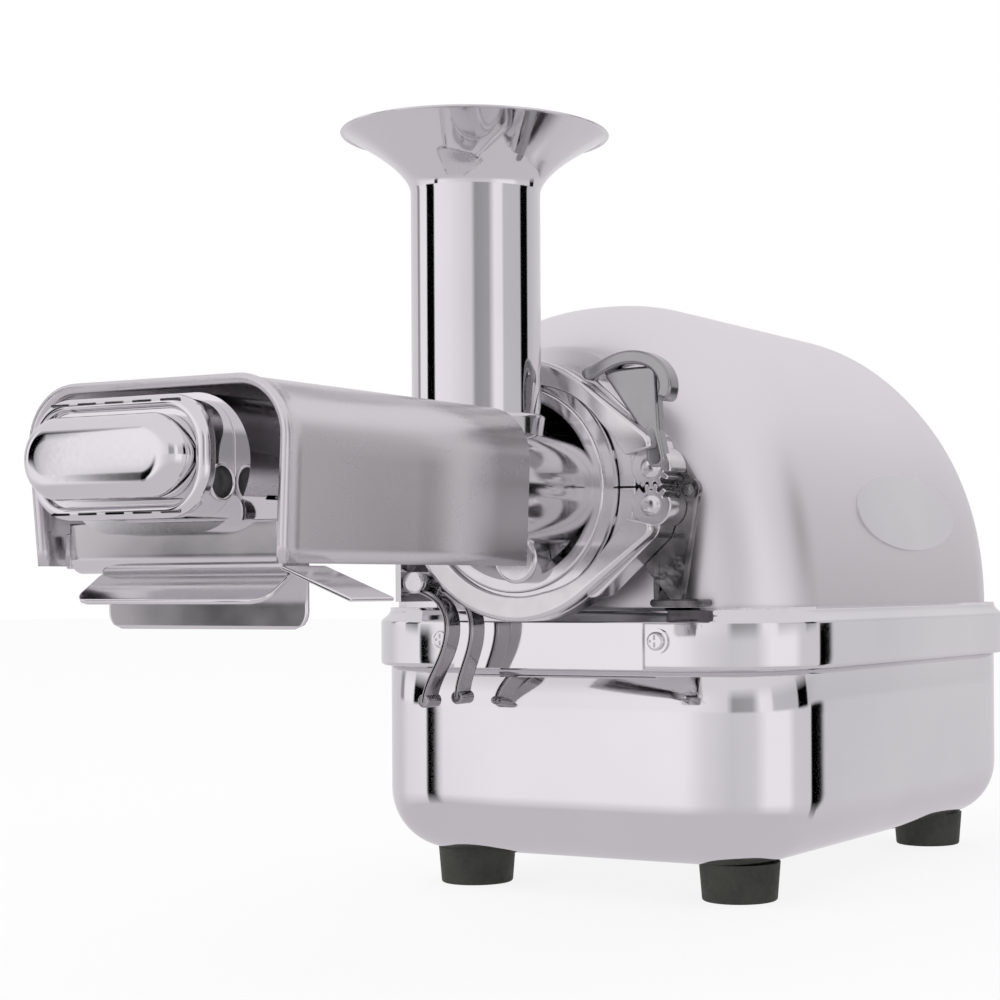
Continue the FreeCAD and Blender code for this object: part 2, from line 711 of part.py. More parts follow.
def make_frame():
    floor = tub_bottom + sheet
    plate_half = tub_half - tub_edge
    top = base_plate_z + base_plate_sheet
    front, rear = foot_front - base_plate_past, foot_rear + base_plate_past
    base = rounded_slab(plate_half, front, rear, 8, base_plate_z, top)
    posts = [rod_z(x, y, post_radius, floor, base_plate_z) for x, y in foot_places]
    base = one([base] + posts)
    for x, y in foot_places:
        base = base.cut(rod_z(x, y, foot_screw, floor - 1, top + 3))
    save("base_plate", base)
    cradles = []
    for y0 in (stator_front + cradle_inset, stator_rear - cradle_inset - cradle_width):
        saddle = block(-cradle_half, cradle_half, y0, y0 + cradle_width, top, motor_z - 20)
        cradles.append(saddle.cut(rod_y(0, motor_z, stator_radius, y0 - 1, y0 + cradle_width + 1)))
    save("motor_cradle", group(cradles))
    under = motor_z - gear_radius(motor_pinion_teeth, motor_module) - gear_room - gearbox_wall - 4
    save("gearbox_stand", block(-stand_half, stand_half, gearbox_front + 8, gearbox_joint - 2, top, under))

    wall = tub_rear
    body = wall_block(inlet_x, inlet_half, inlet_rise, wall - inlet_depth, wall)
    rim = wall_block(inlet_x, inlet_half + inlet_rim, inlet_rise + inlet_rim, wall, wall + 2.0)
    rim = rim.makeFillet(2.5, edges_y(rim))
    well = wall_block(inlet_x, inlet_half - inlet_wall, inlet_rise - inlet_wall, wall - 15, wall + 3)
    inlet = one([body, rim]).cut(well)
    pins = []
    for dx, dz in ((-5.5, -1.5), (0, 2.5), (5.5, -1.5)):
        x, z = inlet_x + dx, inlet_z + dz
        pins.append(block(x - 1, x + 1, wall - 22, wall - 3, z - 2, z + 2))
    save("power_inlet", inlet.cut(pins))
    save("inlet_pins", group(pins))

    shell = wall_block(switch_x, switch_half, switch_rise, wall - switch_depth, wall)
    rim = wall_block(switch_x, switch_half + switch_rim, switch_rise + switch_rim, wall, wall + 1.6)
    rim = rim.makeFillet(1.5, edges_y(rim))
    well = wall_block(switch_x, switch_half - switch_wall, switch_rise - switch_wall, wall - 11, wall + 2)
    save("switch_case", one([shell, rim]).cut(well))
    half = switch_half - 2.0
    reach = switch_rise - 2.4
    pivot_y = wall - 4
    lean = reach * math.tan(math.radians(rocker_tilt))
    outline = [Vector(0, pivot_y - 3, inlet_z - reach + 3), Vector(0, wall - 1, inlet_z - reach),
               Vector(0, wall + 0.4, inlet_z), Vector(0, wall - 1 + lean, inlet_z + reach),
               Vector(0, pivot_y - 3, inlet_z + reach - 3)]
    rocker = Part.Face(Part.makePolygon(outline + [outline[0]])).extrude(Vector(2 * half, 0, 0))
    rocker.translate(Vector(switch_x - half, 0, 0))
    trunnion = rod_x(pivot_y, inlet_z, 1.5, switch_x - half - 0.4, switch_x + half + 0.4)
    save("switch_rocker", one([rocker, trunnion]))
    can = rod_z(capacitor_x, capacitor_y, capacitor_radius, top, top + capacitor_height)
    save("run_capacitor", can.makeFillet(2.0, edges_at(can, top + capacitor_height)))
    outer = tub_half - board_side
    inner = outer - board_width
    front = stator_rear - 4
    rear = capacitor_y + 2
    low = top + board_rise
    board = block(inner, outer, front, rear, low, low + board_thick)
    feet = [rod_z(x, y, 2.5, top, low) for x in (inner + 4, outer - 4) for y in (front + 4, rear - 4)]
    heatsink = block(inner + 6, outer - 6, front + 8, front + 22, low, low + 14)
    relay = block(inner + 8, outer - 8, rear - 20, rear - 8, low, low + 8)
    save("speed_board", one([board, heatsink, relay] + feet))


# One auger's core and its helical flight; hand is 1 or -1
def screw(x, hand):
    front = screen_front + auger_journal
    rear = parting_y - 8.0
    core = rod_y(x, axis_z, auger_core, front, rear)
    root = auger_core - 0.5
    helix = Part.makeHelix(auger_pitch, rear - front - flight_width - 1, root)
    half = flight_width / 2
    square = [Vector(root, 0, -half), Vector(auger_radius, 0, 0.5 - half),
              Vector(auger_radius, 0, half - 0.5), Vector(root, 0, half)]
    profile = Part.makePolygon(square + [square[0]])
    flight = Part.Wire(helix.Edges).makePipeShell([profile], True, True)
    flight.rotate(Vector(0, 0, 0), Vector(1, 0, 0), 90)
    flight.translate(Vector(0, rear - half - 0.5, 0))
    if hand < 0:
        flight = flight.mirror(Vector(0, 0, 0), Vector(1, 0, 0))
        flight.rotate(Vector(0, 0, 0), Vector(0, 1, 0), 180)
    flight.translate(Vector(x, 0, axis_z))
    return core, flight, front, rear


def make_screws():
    for name, x, hand in (("auger_left", -axis_half, 1), ("auger_right", axis_half, -1)):
        core, flight, front, rear = screw(x, hand)
        journal = rod_y(x, axis_z, auger_journal, screen_front + 1, front)
        neck = rod_y(x, axis_z, auger_neck, rear, auger_rear)
        tang = socket(x, auger_rear, output_front + tang_length - end_float, tang_half)
        save(name, one([core, flight, journal, neck, tang]))


def make_juicer():
    flange = rod_y(0, axis_z, flange_radius, flange_front, parting_y)
    step_front = flange_front - 1.6
    step = rod_y(0, axis_z, clamp_lip - 1.2, step_front, flange_front)
    step = step.makeFillet(0.9, edges_at_y(step, step_front))
    start = Vector(0, step_front - 0.01, axis_z)
    dish = Part.makeCone(neck_radius - 3, neck_radius - 7, 3.0, start, Vector(0, 1, 0))
    barrel = stadium(axis_half, barrel_radius, barrel_front, flange_front + 2)
    collar_top = axis_z + barrel_radius + collar_height
    collar = rod_z(0, hopper_y, collar_radius, axis_z + 4, collar_top)
    collar = collar.makeFillet(1.6, edges_at(collar, collar_top))
    spout_front = flange_front - spout_length
    spout = rod_y(spout_x, axis_z - spout_drop, spout_radius, spout_front, flange_front + 1)
    spout = spout.makeFillet(1.5, edges_at_y(spout, spout_front))
    body = one([one([flange, step]).cut(dish), barrel, collar, spout])
    for x in (-axis_half, axis_half):
        body = body.cut(rod_y(x, axis_z, bore_radius, barrel_front - 1, flange_front + 2))
        body = body.cut(rod_y(x, axis_z, auger_neck + auger_clearance, flange_front, parting_y + 1))
    body = body.cut(rod_z(0, hopper_y, mouth_radius, axis_z, hopper_top))
    low = axis_z + barrel_radius - hopper_seat
    body = body.cut(rod_z(0, hopper_y, hopper_radius + seat_gap, low, hopper_top))
    save("juice_housing", body)

    start = hopper_top - flare_height
    outer = []
    for k in range(9):
        t = k / 8.0
        reach = hopper_radius + (hopper_rim - hopper_radius) * t ** flare_power
        outer.append(Vector(reach, 0, start + flare_height * t))
    inner = [Vector(p.x - hopper_wall * (1 - 0.35 * k / 8), 0, p.z + 0.9 * hopper_wall * k / 8)
             for k, p in enumerate(outer)]
    inner[-1].z = hopper_top
    inner[-1].x = hopper_rim - 1.4 * hopper_wall
    outside = Part.BSplineCurve()
    outside.interpolate(outer)
    inside = Part.BSplineCurve()
    inside.interpolate(inner)
    corners = [Vector(hopper_radius - hopper_wall, 0, low), Vector(hopper_radius, 0, low)]
    edges = [Part.LineSegment(corners[0], corners[1]).toShape(),
             Part.LineSegment(corners[1], outer[0]).toShape(), outside.toShape(),
             Part.LineSegment(outer[-1], inner[-1]).toShape(), inside.toShape(),
             Part.LineSegment(inner[0], corners[0]).toShape()]
    hopper = Part.Face(Part.Wire(Part.__sortEdges__(edges))).revolve(Vector(0, 0, 0), Vector(0, 0, 1), 360)
    hopper.translate(Vector(0, hopper_y, 0))
    save("feed_hopper", hopper)

    screen = stadium(axis_half, screen_radius, screen_front, barrel_front)
    for x in (-axis_half, axis_half):
        screen = screen.cut(rod_y(x, axis_z, bore_radius, screen_front + screen_end, barrel_front + 1))
        screen = screen.cut(rod_y(x, axis_z, auger_journal + auger_clearance, screen_front - 1,
                                  screen_front + screen_end + 1))
    slots = []
    count = int((barrel_front - screen_front - 16) / slot_pitch)
    for k in range(count):
        y = screen_front + 10 + slot_pitch * k
        for x in (-axis_half, axis_half):
            for angle in (-150, -120, -90, -60, -30):
                outward = math.copysign(1, x)
                if outward * math.cos(math.radians(angle)) < -0.1:
                    continue
                half = slot_width / 2
                slot = block(bore_radius - 3, screen_radius + 3, y, y + slot_length, -half, half)
                slot.rotate(Vector(0, 0, 0), Vector(0, 1, 0), -angle)
                slot.translate(Vector(x, 0, axis_z))
                slots.append(slot)
    screen = screen.cut(slots)
    save("strainer_screen", screen)


# The cover's section, grown outwards; drop lowers its open edge
def cover_outline(grow, drop):
    half = cover_half + grow
    top = cover_top + grow
    r = cover_corner + grow
    low = cover_bottom - drop
    xs = half - r
    zs = top - r
    right = (half - cover_lean, low)
    left = (-half + cover_lean + cover_tuck, low)
    c = math.cos(math.pi / 4)
    pts = [("line", left, (-half, zs)),
           ("arc", (-half, zs), (-xs - r * c, zs + r * c), (-xs, top)),
           ("line", (-xs, top), (xs, top)),
           ("arc", (xs, top), (xs + r * c, zs + r * c), (half, zs)),
           ("line", (half, zs), right),
           ("line", right, left)]
    edges = []
    for item in pts:
        at = [Vector(p[0], 0, p[1]) for p in item[1:]]
        if item[0] == "line":
            edges.append(Part.LineSegment(at[0], at[1]).toShape())
        else:
            edges.append(Part.Arc(at[0], at[1], at[2]).toShape())
    return Part.Wire(Part.__sortEdges__(edges))


def make_cover():
    shell = plate(cover_outline(0, 0), cover_front, cover_rear)
    shell = shell.cut(plate(cover_outline(-cover_sheet, 5), cover_front - 1, cover_rear + 1))
    rim = plate(cover_outline(cover_roll, 0), cover_front, cover_front + cover_rim)
    rim = rim.cut(plate(cover_outline(-cover_rim, 5), cover_front - 1, cover_front + cover_rim + 1))
    nick = rod_y(-cover_half, cover_bottom - 3, 9.0, cover_front - 1, cover_front + 18)
    seats = []
    top = cover_top - cover_sheet
    for y0 in (screen_front + 24, barrel_front - 18):
        seats.append(block(-8, 8, y0, y0 + 10, axis_z + screen_radius, top))
    cover = one([shell, rim] + seats).cut(nick)
    save("juice_cover", cover)


def rounded_dish(half, low, high, corner, y0, y1):
    slab = block(-half, half, y0, y1, low, high)
    return slab.makeFillet(corner, edges_along(slab, Vector(0, 1, 0)))


def make_pulp_end():
    dish = rounded_dish(dish_half, dish_low, dish_high, dish_corner, dish_front, dish_back)
    dish = dish.makeFillet(2.2, edges_at_y(dish, dish_front))
    recess_half = cap_half + 0.4
    recess_rise = cap_height / 2 + 1.0
    recess = rounded_dish(recess_half, dish_middle - recess_rise, dish_middle + recess_rise, cap_height / 2,
                          dish_front - 1, dish_front + dish_recess)
    neck_half = dish_half - 3
    neck_low, neck_high = dish_low + 0.5, dish_high - 0.5
    neck = rounded_dish(neck_half, neck_low, neck_high, dish_corner - 2, dish_back, screen_front)
    hollow = rounded_dish(neck_half - dish_wall, neck_low + dish_wall, neck_high - dish_wall,
                          dish_corner - 2 - dish_wall, dish_back, screen_front + 1)
    body = one([dish, neck]).cut(hollow).cut(recess)
    hole_y = (dish_back + screen_front) / 2
    hole = min(pulp_hole, (screen_front - dish_back) / 2 - 1.0)
    body = body.cut(rod_x(hole_y, axis_z - pulp_drop, hole, 0, dish_half + 1))
    body = body.cut(rod_y(0, dish_middle, cap_stem + run_clearance, dish_front - 1, dish_back + 1))
    notches = []
    for k in range(dish_notches):
        x = notch_pitch * (k - (dish_notches - 1) / 2)
        for z in (dish_high - 2.6, dish_low + 2.6):
            notches.append(block(x - 3.4, x + 3.4, dish_front - 1, dish_front + 1.2, z - 0.6, z + 0.6))
    body = body.cut(notches)
    save("pulp_housing", body)

    back = dish_front + dish_recess - cap_gap
    boss = rounded_dish(cap_half, dish_middle - cap_height / 2, dish_middle + cap_height / 2,
                        cap_height / 2 - 0.01, cap_front, back)
    boss = boss.makeFillet(cap_edge, edges_at_y(boss, cap_front))
    save("pulp_cap", boss.cut(rod_y(0, dish_middle, cap_stem, dish_front, back + 1)))
    stop_rear = screen_front - 1.4
    stop_front = stop_rear - 1.2
    stem = rod_y(0, dish_middle, cap_stem, dish_front, stop_rear)
    stop = rod_y(0, dish_middle, cap_stem + cap_stop, stop_front, stop_rear)
    save("cap_stem", one([stem, stop]))
    spring_rear = stop_front - 0.1
    spring_front = dish_back + 0.1
    height = spring_rear - spring_front - 2 * spring_wire
    coil = cap_stem + 1.6
    helix = Part.makeHelix(height / spring_turns, height, coil)
    ring = Part.Wire(Part.makeCircle(spring_wire, Vector(coil, 0, 0), Vector(0, 1, 0)))
    spring = Part.Wire(helix.Edges).makePipeShell([ring], True, True)
    spring.rotate(Vector(0, 0, 0), Vector(1, 0, 0), 90)
    spring.translate(Vector(0, spring_rear - spring_wire, dish_middle))
    save("cap_spring", spring)


# A thin sheet bent through points in a plane across X, with round bends
def bent_sheet(points, x0, x1, thick):
    offs = []
    count = len(points)
    for i in range(count):
        before = points[max(i - 1, 0)]
        after = points[min(i + 1, count - 1)]
        here = points[i]
        n1 = normal(before, here) if i > 0 else normal(here, after)
        n2 = normal(here, after) if i < count - 1 else normal(before, here)
        mx, mz = n1[0] + n2[0], n1[1] + n2[1]
        size = (mx * n1[0] + mz * n1[1])
        offs.append((here[0] + thick * mx / size, here[1] + thick * mz / size))
    ring = [Vector(x0, p[0], p[1]) for p in points] + [Vector(x0, p[0], p[1]) for p in reversed(offs)]
    return Part.Face(Part.makePolygon(ring + [ring[0]])).extrude(Vector(x1 - x0, 0, 0))


def normal(a, b):
    run = math.hypot(b[0] - a[0], b[1] - a[1])
    return -(b[1] - a[1]) / run, (b[0] - a[0]) / run


def make_chute():
    # A frame under the strainer carries the front plate, its flap and the side wing
    front = bent_sheet([(chute_y, chute_top), (chute_y, chute_low + 2), (chute_y + 2, chute_low),
                        (chute_y + 6, chute_low)], chute_left, chute_right, chute_sheet)
    flap_path = [(chute_y + 6, chute_low + 0.3), (chute_y + 2, chute_low - 2), (chute_y - 9, chute_flap_low)]
    flap = bent_sheet(flap_path, chute_left + 9, chute_right + 2, chute_sheet)
    flap = flap.makeFillet(chute_corner, [e for e in edges_across(flap) if e.BoundBox.YMin < chute_y - 8])
    apron = chute_low + chute_sheet
    rear = bent_sheet([(chute_y + 15, chute_rear_low), (chute_y + 15, apron), (chute_y + 5, apron)],
                      -chute_rear_half, chute_rear_half, chute_sheet)
    rear = rear.makeFillet(chute_corner, [e for e in edges_y(rear) if e.BoundBox.ZMin < chute_rear_low + 1])
    # One wing, on the right; on the left the tray ends in a small tab
    ring = [Vector(wing_inner, 0, chute_low), Vector(wing_outer, 0, chute_flap_low),
            Vector(wing_outer, 0, chute_flap_low + chute_sheet), Vector(wing_inner, 0, apron)]
    wing = Part.Face(Part.makePolygon(ring + [ring[0]])).extrude(Vector(0, wing_depth, 0))
    wing.translate(Vector(0, chute_y + 1, 0))
    tab = block(-wing_inner - chute_sheet, -wing_inner, chute_y + 1, chute_y + 4, chute_low, chute_low + tab_height)
    tray = block(-wing_inner, wing_inner, chute_y + 1, chute_y + 1 + wing_depth, chute_low, apron)
    chute = one([front, flap, rear, tray, wing, tab])
    save("pulp_chute", chute.cut(stadium(axis_half, screen_radius + seat_gap, chute_y - 5, chute_y + 30)))


def edges_y(shape):
    return edges_along(shape, Vector(0, 1, 0))


def edges_across(shape):
    return [e for e in shape.Edges if len(e.Vertexes) == 2 and e.Length < 2.5
            and abs(e.BoundBox.XMax - e.BoundBox.XMin) < 0.01]


def ring_sector(inner, outer, y0, y1, low, high):
    ring = rod_y(0, axis_z, outer, y0, y1).cut(rod_y(0, axis_z, inner, y0 - 1, y1 + 1))
    far = 3 * outer
    pie = [Vector(0, 0, axis_z)]
    for k in range(9):
        x, z = polar(0, axis_z, far, math.radians(low + (high - low) * k / 8.0))
        pie.append(Vector(x, 0, z))
    return ring.common(plate(Part.makePolygon(pie + [pie[0]]), y0 - 2, y1 + 2))


# Half of the clamp: a U-section ring, an arm out to its lug, and teeth that mesh with the other half's
def clamp_half(upper):
    sign = 1 if upper else -1
    pivot_z, other_z = (pivot_high, pivot_low) if upper else (pivot_low, pivot_high)
    low, high = (arm_split, 179.0) if upper else (-179.0, -arm_split)
    inner = flange_radius + clamp_gap
    lip = lip_width - clamp_gap
    ring = ring_sector(inner, clamp_outer, clamp_front, clamp_back, low, high)
    lips = [ring_sector(clamp_lip, flange_radius + 1, clamp_front, clamp_front + lip, low, high),
            ring_sector(clamp_lip, flange_radius + 1, clamp_back - lip, clamp_back, low, high)]
    hub = (pivot_x, pivot_z, pivot_radius - 1.5)
    root = polar(0, axis_z, arm_root_reach, math.radians(arm_root_angle) * sign)
    knee = polar(0, axis_z, clamp_outer - 4.4, math.radians(arm_knee_angle) * sign)
    elbow = (pivot_x - elbow_out, axis_z + elbow_rise * sign, elbow_radius)
    pieces = [plate(belt([(*root, arm_half), elbow]), clamp_front, clamp_back),
              plate(belt([elbow, hub]), lug_front, clamp_back),
              plate(belt([hub, (*knee, 3.0)]), lug_front, clamp_back)]
    keep = [rod_y(0, axis_z, inner, clamp_front - 1, clamp_back + 1),
            rod_y(pivot_x, other_z, lug_radius + 0.35, clamp_front - 1, clamp_back + 1)]
    # The lug is smooth, apart from the side that rolls on the other half's teeth
    open_from, open_to = (-tooth_to, -tooth_from) if upper else (tooth_from, tooth_to)
    side = [Vector(pivot_x, 0, pivot_z)]
    for k in range(5):
        x, z = polar(pivot_x, pivot_z, 3 * lug_radius, math.radians(open_from + (open_to - open_from) * k / 4))
        side.append(Vector(x, 0, z))
    toothed = plate(Part.makePolygon(side + [side[0]]), lug_front - 1, clamp_back + 1)
    lug = rod_y(pivot_x, pivot_z, lug_radius, lug_front, clamp_back).cut(toothed)
    phase = 0.0
    if not upper:
        phase = mesh_phase((pivot_x, pivot_high), pivot_teeth, 0.0, (pivot_x, pivot_low), pivot_teeth)
    teeth = gear(pivot_teeth, pivot_module, pivot_x, pivot_z, lug_front, clamp_back, phase)
    solid = [ring, one(pieces).cut(keep), lug, teeth] + lips + (lever_pad() if upper else [latch_ear()])
    bores = [rod_y(pivot_x, pivot_z, pivot_pin + run_clearance, clamp_front - 1, clamp_back + 1),
             rod_y(pivot_x, pivot_z, pin_head + clamp_gap, clamp_front - 1, lug_front)]
    return one(solid).cut(bores)


# The thumb lever grows out of the upper arm and ends in a mushroom-shaped pad
def lever_pad():
    y0 = clamp_front + stem_front
    y1 = y0 + stem_depth
    top = axis_z + pad_rise
    waist = (pivot_x + 1.5, axis_z + 19, 3.0)
    web = plate(belt([waist, (pivot_x + 0.5, top - 10.5, 2.5), (pivot_x - 14, top - 9.8, 2.5)]), y0, y1)
    stem = plate(belt([(pivot_x + 3, pivot_high + 3.4, 3.5), waist]), y0, y1)
    crown = [(pivot_x + dx, top + dz) for dx, dz in pad_line]
    ends = [rod_y(*crown[k], pad_thick / 2 * 1.05, clamp_front, clamp_front + pad_depth) for k in (0, -1)]
    return [web, stem, strip(crown, pad_thick, clamp_front, clamp_front + pad_depth)] + ends


def latch_ear():
    angle = math.atan2(latch_z - axis_z, latch_x)
    root = polar(0, axis_z, clamp_outer - 3.2, angle)
    return plate(belt([(*root, 3.0), (latch_x, latch_z, latch_ear_radius)]), ear_front, ear_front + ear_width)


# A strip of even thickness that follows a curve through the points
def strip(points, thick, y0, y1):
    sides = [[], []]
    count = len(points)
    for i in range(count):
        a = points[max(i - 1, 0)]
        b = points[min(i + 1, count - 1)]
        n = normal(a, b)
        for side, sign in ((0, 1), (1, -1)):
            off = sign * thick / 2
            sides[side].append(Vector(points[i][0] + off * n[0], 0, points[i][1] + off * n[1]))
    curves = []
    for side in sides:
        curve = Part.BSplineCurve()
        curve.interpolate(side)
        curves.append(curve.toShape())
    ends = [Part.LineSegment(sides[0][k], sides[1][k]).toShape() for k in (0, -1)]
    return plate(Part.Wire(Part.__sortEdges__(curves + ends)), y0, y1)


def lever(front, swing):
    rear = front + lever_width
    turn = math.radians(swing)
    path = []
    for dx, dz in lever_bends:
        path.append((latch_x + dx * math.cos(turn) - dz * math.sin(turn),
                     latch_z + dx * math.sin(turn) + dz * math.cos(turn)))
    pieces = [strip(path, lever_sheet, front, rear), rod_y(*path[-1], lever_sheet * 1.15, front, rear),
              plate(belt([(latch_x, latch_z, lever_eye), (latch_x - cam_throw, latch_z, lever_eye)]), front, rear)]
    return one(pieces).cut(rod_y(latch_x, latch_z, pivot_pin + run_clearance, front - 1, rear + 1))


# A headed pin along Y; its head's back is at y0
def headed_pin(x, z, y0, y1):
    head = rod_y(x, z, pin_head, y0 - pin_head_height, y0)
    head = head.makeFillet(0.8, edges_at_y(head, y0 - pin_head_height))
    return one([head, rod_y(x, z, pivot_pin, y0, y1)])


def make_clamp():
    save("clamp_upper", clamp_half(True))
    save("clamp_lower", clamp_half(False).cut(rod_y(latch_x, latch_z, pivot_pin, clamp_front, clamp_back)))
    save("latch_lever_front", lever(front_lever, 0))
    save("latch_lever_rear", lever(rear_lever, rear_lever_turn))
    pin_rear = rear_lever + lever_width + lever_gap
    save("latch_pin", headed_pin(latch_x, latch_z, front_lever - lever_gap, pin_rear))

    bracket_front = clamp_back + lever_gap
    seat = band_top + 0.3
    shell_front = dome_front - 0.3
    web = belt([(pivot_x - 5.6, axis_z - 27, 4.0), (pivot_x + 3.4, seat + 2, 2.0),
                (bracket_boss_x, bracket_boss_z, bracket_boss_radius), (pivot_x + 1.4, axis_z + 8, 5.0),
                (pivot_x - 15.6, axis_z + 20, 3.0)])
    foot = block(pivot_x - 7.6, pivot_x + 12.9, bracket_front, shell_front, seat, seat + bracket_foot)
    post = block(pivot_x - 6.1, pivot_x - 3.1, bracket_front, shell_front, seat, axis_z - 23)
    bracket = one([plate(web, bracket_front, bracket_back), foot, post])
    bracket = bracket.cut(rod_y(0, axis_z, neck_radius, clamp_front, dome_front + 5))
    bore = rod_y(bracket_boss_x, bracket_boss_z, bracket_boss_bore, bracket_front - 1, bracket_front + 2)
    bracket = bracket.cut(bore)
    for z in (pivot_high, pivot_low):
        bracket = bracket.cut(rod_y(pivot_x, z, pivot_pin, bracket_front - 1, bracket_back + 1))
    save("hinge_bracket", bracket)
    save("hinge_pins", group([headed_pin(pivot_x, z, lug_front - clamp_gap, bracket_back)
                              for z in (pivot_high, pivot_low)]))

    cam_edge = latch_x - cam_throw - lever_eye - lever_gap
    catch_rear = parting_y + 12.9
    catch_front = catch_rear - catch_plate
    foot = block(cam_edge - 14, cam_edge, catch_front, shell_front, seat, seat + catch_plate)
    ear = block(cam_edge - 9, cam_edge, catch_front, catch_rear, seat, latch_z + 7)
    jaw = block(cam_edge - 2.4, cam_edge, front_lever, catch_rear, latch_z - 7, latch_z + 7)
    save("catch_bracket", one([foot, ear, jaw]))


make_base()
make_drive()
make_frame()
make_screws()
make_juicer()
make_cover()
make_pulp_end()
make_chute()
make_clamp()
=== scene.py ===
import json
import math
import bpy
import bmesh
import numpy as np
from mathutils import Matrix, Vector


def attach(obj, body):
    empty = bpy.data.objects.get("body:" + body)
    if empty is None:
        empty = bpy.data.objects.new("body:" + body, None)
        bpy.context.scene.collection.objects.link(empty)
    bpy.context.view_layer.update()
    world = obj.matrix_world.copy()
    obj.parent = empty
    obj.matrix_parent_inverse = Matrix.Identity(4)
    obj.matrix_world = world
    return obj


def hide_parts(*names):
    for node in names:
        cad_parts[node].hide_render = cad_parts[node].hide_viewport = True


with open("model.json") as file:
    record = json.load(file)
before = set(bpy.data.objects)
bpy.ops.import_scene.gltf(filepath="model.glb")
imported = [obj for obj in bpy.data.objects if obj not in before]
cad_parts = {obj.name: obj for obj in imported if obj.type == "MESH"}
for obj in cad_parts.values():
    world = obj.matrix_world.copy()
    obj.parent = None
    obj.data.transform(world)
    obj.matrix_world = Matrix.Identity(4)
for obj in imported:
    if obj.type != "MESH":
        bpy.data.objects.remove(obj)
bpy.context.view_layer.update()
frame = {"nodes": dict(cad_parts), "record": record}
nodes = frame["nodes"]
mm = 0.001
seam = 0.000001  # points nearer than this, in metres, are one point
frontY = -16.25  # the trim band's front, measured from the middle of the footprint
print("frame loaded:", len(nodes), "nodes")


view = {"x": 408.2, "y": -667.0 + frontY, "z": 117.4, "turn": 28.19, "pitch": 0.284, "roll": -0.333,
        "focal": 2101.8, "centreX": 667.2, "centreY": 576.9, "frameSize": 1000.0, "sensor": 36.0}


def makeCamera():
    # ahead from turn and pitch, right and up turned about it by the roll, the lens from the focal length
    turn, pitch, roll = (math.radians(view[k]) for k in ("turn", "pitch", "roll"))
    ahead = Vector((-math.sin(turn) * math.cos(pitch), math.cos(turn) * math.cos(pitch), math.sin(pitch)))
    right = Vector((math.cos(turn), math.sin(turn), 0.0))
    up = right.cross(ahead)
    rightR = right * math.cos(roll) + up * math.sin(roll)
    upR = up * math.cos(roll) - right * math.sin(roll)
    camera = bpy.data.cameras.new("studioCamera")
    camera.sensor_width = view["sensor"]
    camera.lens = view["focal"] / view["frameSize"] * view["sensor"]
    camera.shift_x = (view["frameSize"] / 2 - view["centreX"]) / view["frameSize"]
    camera.shift_y = (view["centreY"] - view["frameSize"] / 2) / view["frameSize"]
    camera.clip_start = 0.05
    eye = bpy.data.objects.new("studioCamera", camera)
    bpy.context.scene.collection.objects.link(eye)
    eye.matrix_world = Matrix(((rightR.x, upR.x, -ahead.x, view["x"] * mm),
                               (rightR.y, upR.y, -ahead.y, view["y"] * mm),
                               (rightR.z, upR.z, -ahead.z, view["z"] * mm),
                               (0, 0, 0, 1)))
    bpy.context.scene.camera = eye


makeCamera()
print("camera set")


def quadsOf(index):
    # each cell of a grid of point numbers as the face of its four corners
    corners = [index[:-1, :-1], index[1:, :-1], index[1:, 1:], index[:-1, 1:]]
    return np.stack(corners, axis=-1).reshape(-1, 4).tolist()


def meshPiece(name, points, faces, body, weld=0.0):
    # points in millimetres and their faces as one smooth mesh, its normals outwards, riding on a body
    mesh = bpy.data.meshes.new(name)
    mesh.from_pydata((points * mm).tolist(), [], faces)
    work = bmesh.new()
    work.from_mesh(mesh)
    if weld:
        bmesh.ops.remove_doubles(work, verts=work.verts, dist=weld)
    bmesh.ops.recalc_face_normals(work, faces=work.faces)
    for face in work.faces:
        face.smooth = True
    work.to_mesh(mesh)
    work.free()
    piece = bpy.data.objects.new(name, mesh)
    bpy.context.scene.collection.objects.link(piece)
    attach(piece, body)
    return piece


def surface(name, grid, closeV=False, endCap=False):
    # a grid of points, rows by columns, joined into quads; the last row can be closed by one polygon
    rows, cols = grid.shape[:2]
    index = np.arange(rows * cols).reshape(rows, cols)
    ends = [index[-1][::-1].tolist()] if endCap else []
    if closeV:
        index = np.hstack([index, index[:, :1]])
    return meshPiece(name, grid.reshape(-1, 3), quadsOf(index) + ends, "base", seam)


def roundLoop(half, y0, y1, corner, perCorner=14, perSide=18):
    # a rectangle with round corners in plan, as points and outward normals, anticlockwise from above
    centres = [(half - corner, y1 - corner, 0), (-half + corner, y1 - corner, 90),
               (-half + corner, y0 + corner, 180), (half - corner, y0 + corner, 270)]
    points, normals = [], []
    for i, (cx, cy, start) in enumerate(centres):
        a = np.radians(start + np.linspace(0, 90, perCorner))
        n = np.stack([np.cos(a), np.sin(a)], -1)
        points.append(np.array([cx, cy]) + corner * n)
        normals.append(n)
        nx, ny, nextStart = centres[(i + 1) % 4]
        b = math.radians(nextStart)
        tail = np.array([nx + corner * math.cos(b), ny + corner * math.sin(b)])
        t = np.linspace(0, 1, perSide + 2)[1:-1, None]
        points.append(points[-1][-1] * (1 - t) + tail * t)
        normals.append(np.repeat(n[-1:], perSide, 0))
    return np.vstack(points), np.vstack(normals)


def ringWall(name, half, y0, y1, corner, profile, endCap=False):
    # (distance outwards, height) carried round the rounded rectangle: point plus distance times normal
    points, normals = roundLoop(half, y0, y1, corner)
    profile = np.asarray(profile, float)
    xy = points[None] + normals[None] * profile[:, :1, None]
    z = np.broadcast_to(profile[:, 1:2], xy.shape[:2])[..., None]
    return surface(name, np.concatenate([xy, z], -1), closeV=True, endCap=endCap)


def arcPoints(cx, cz, radius, start, end, steps=8):
    # centre plus radius times the cosine and the sine of evenly spaced angles
    a = np.radians(np.linspace(start, end, steps))
    return np.stack([cx + radius * np.cos(a), cz + radius * np.sin(a)], -1)


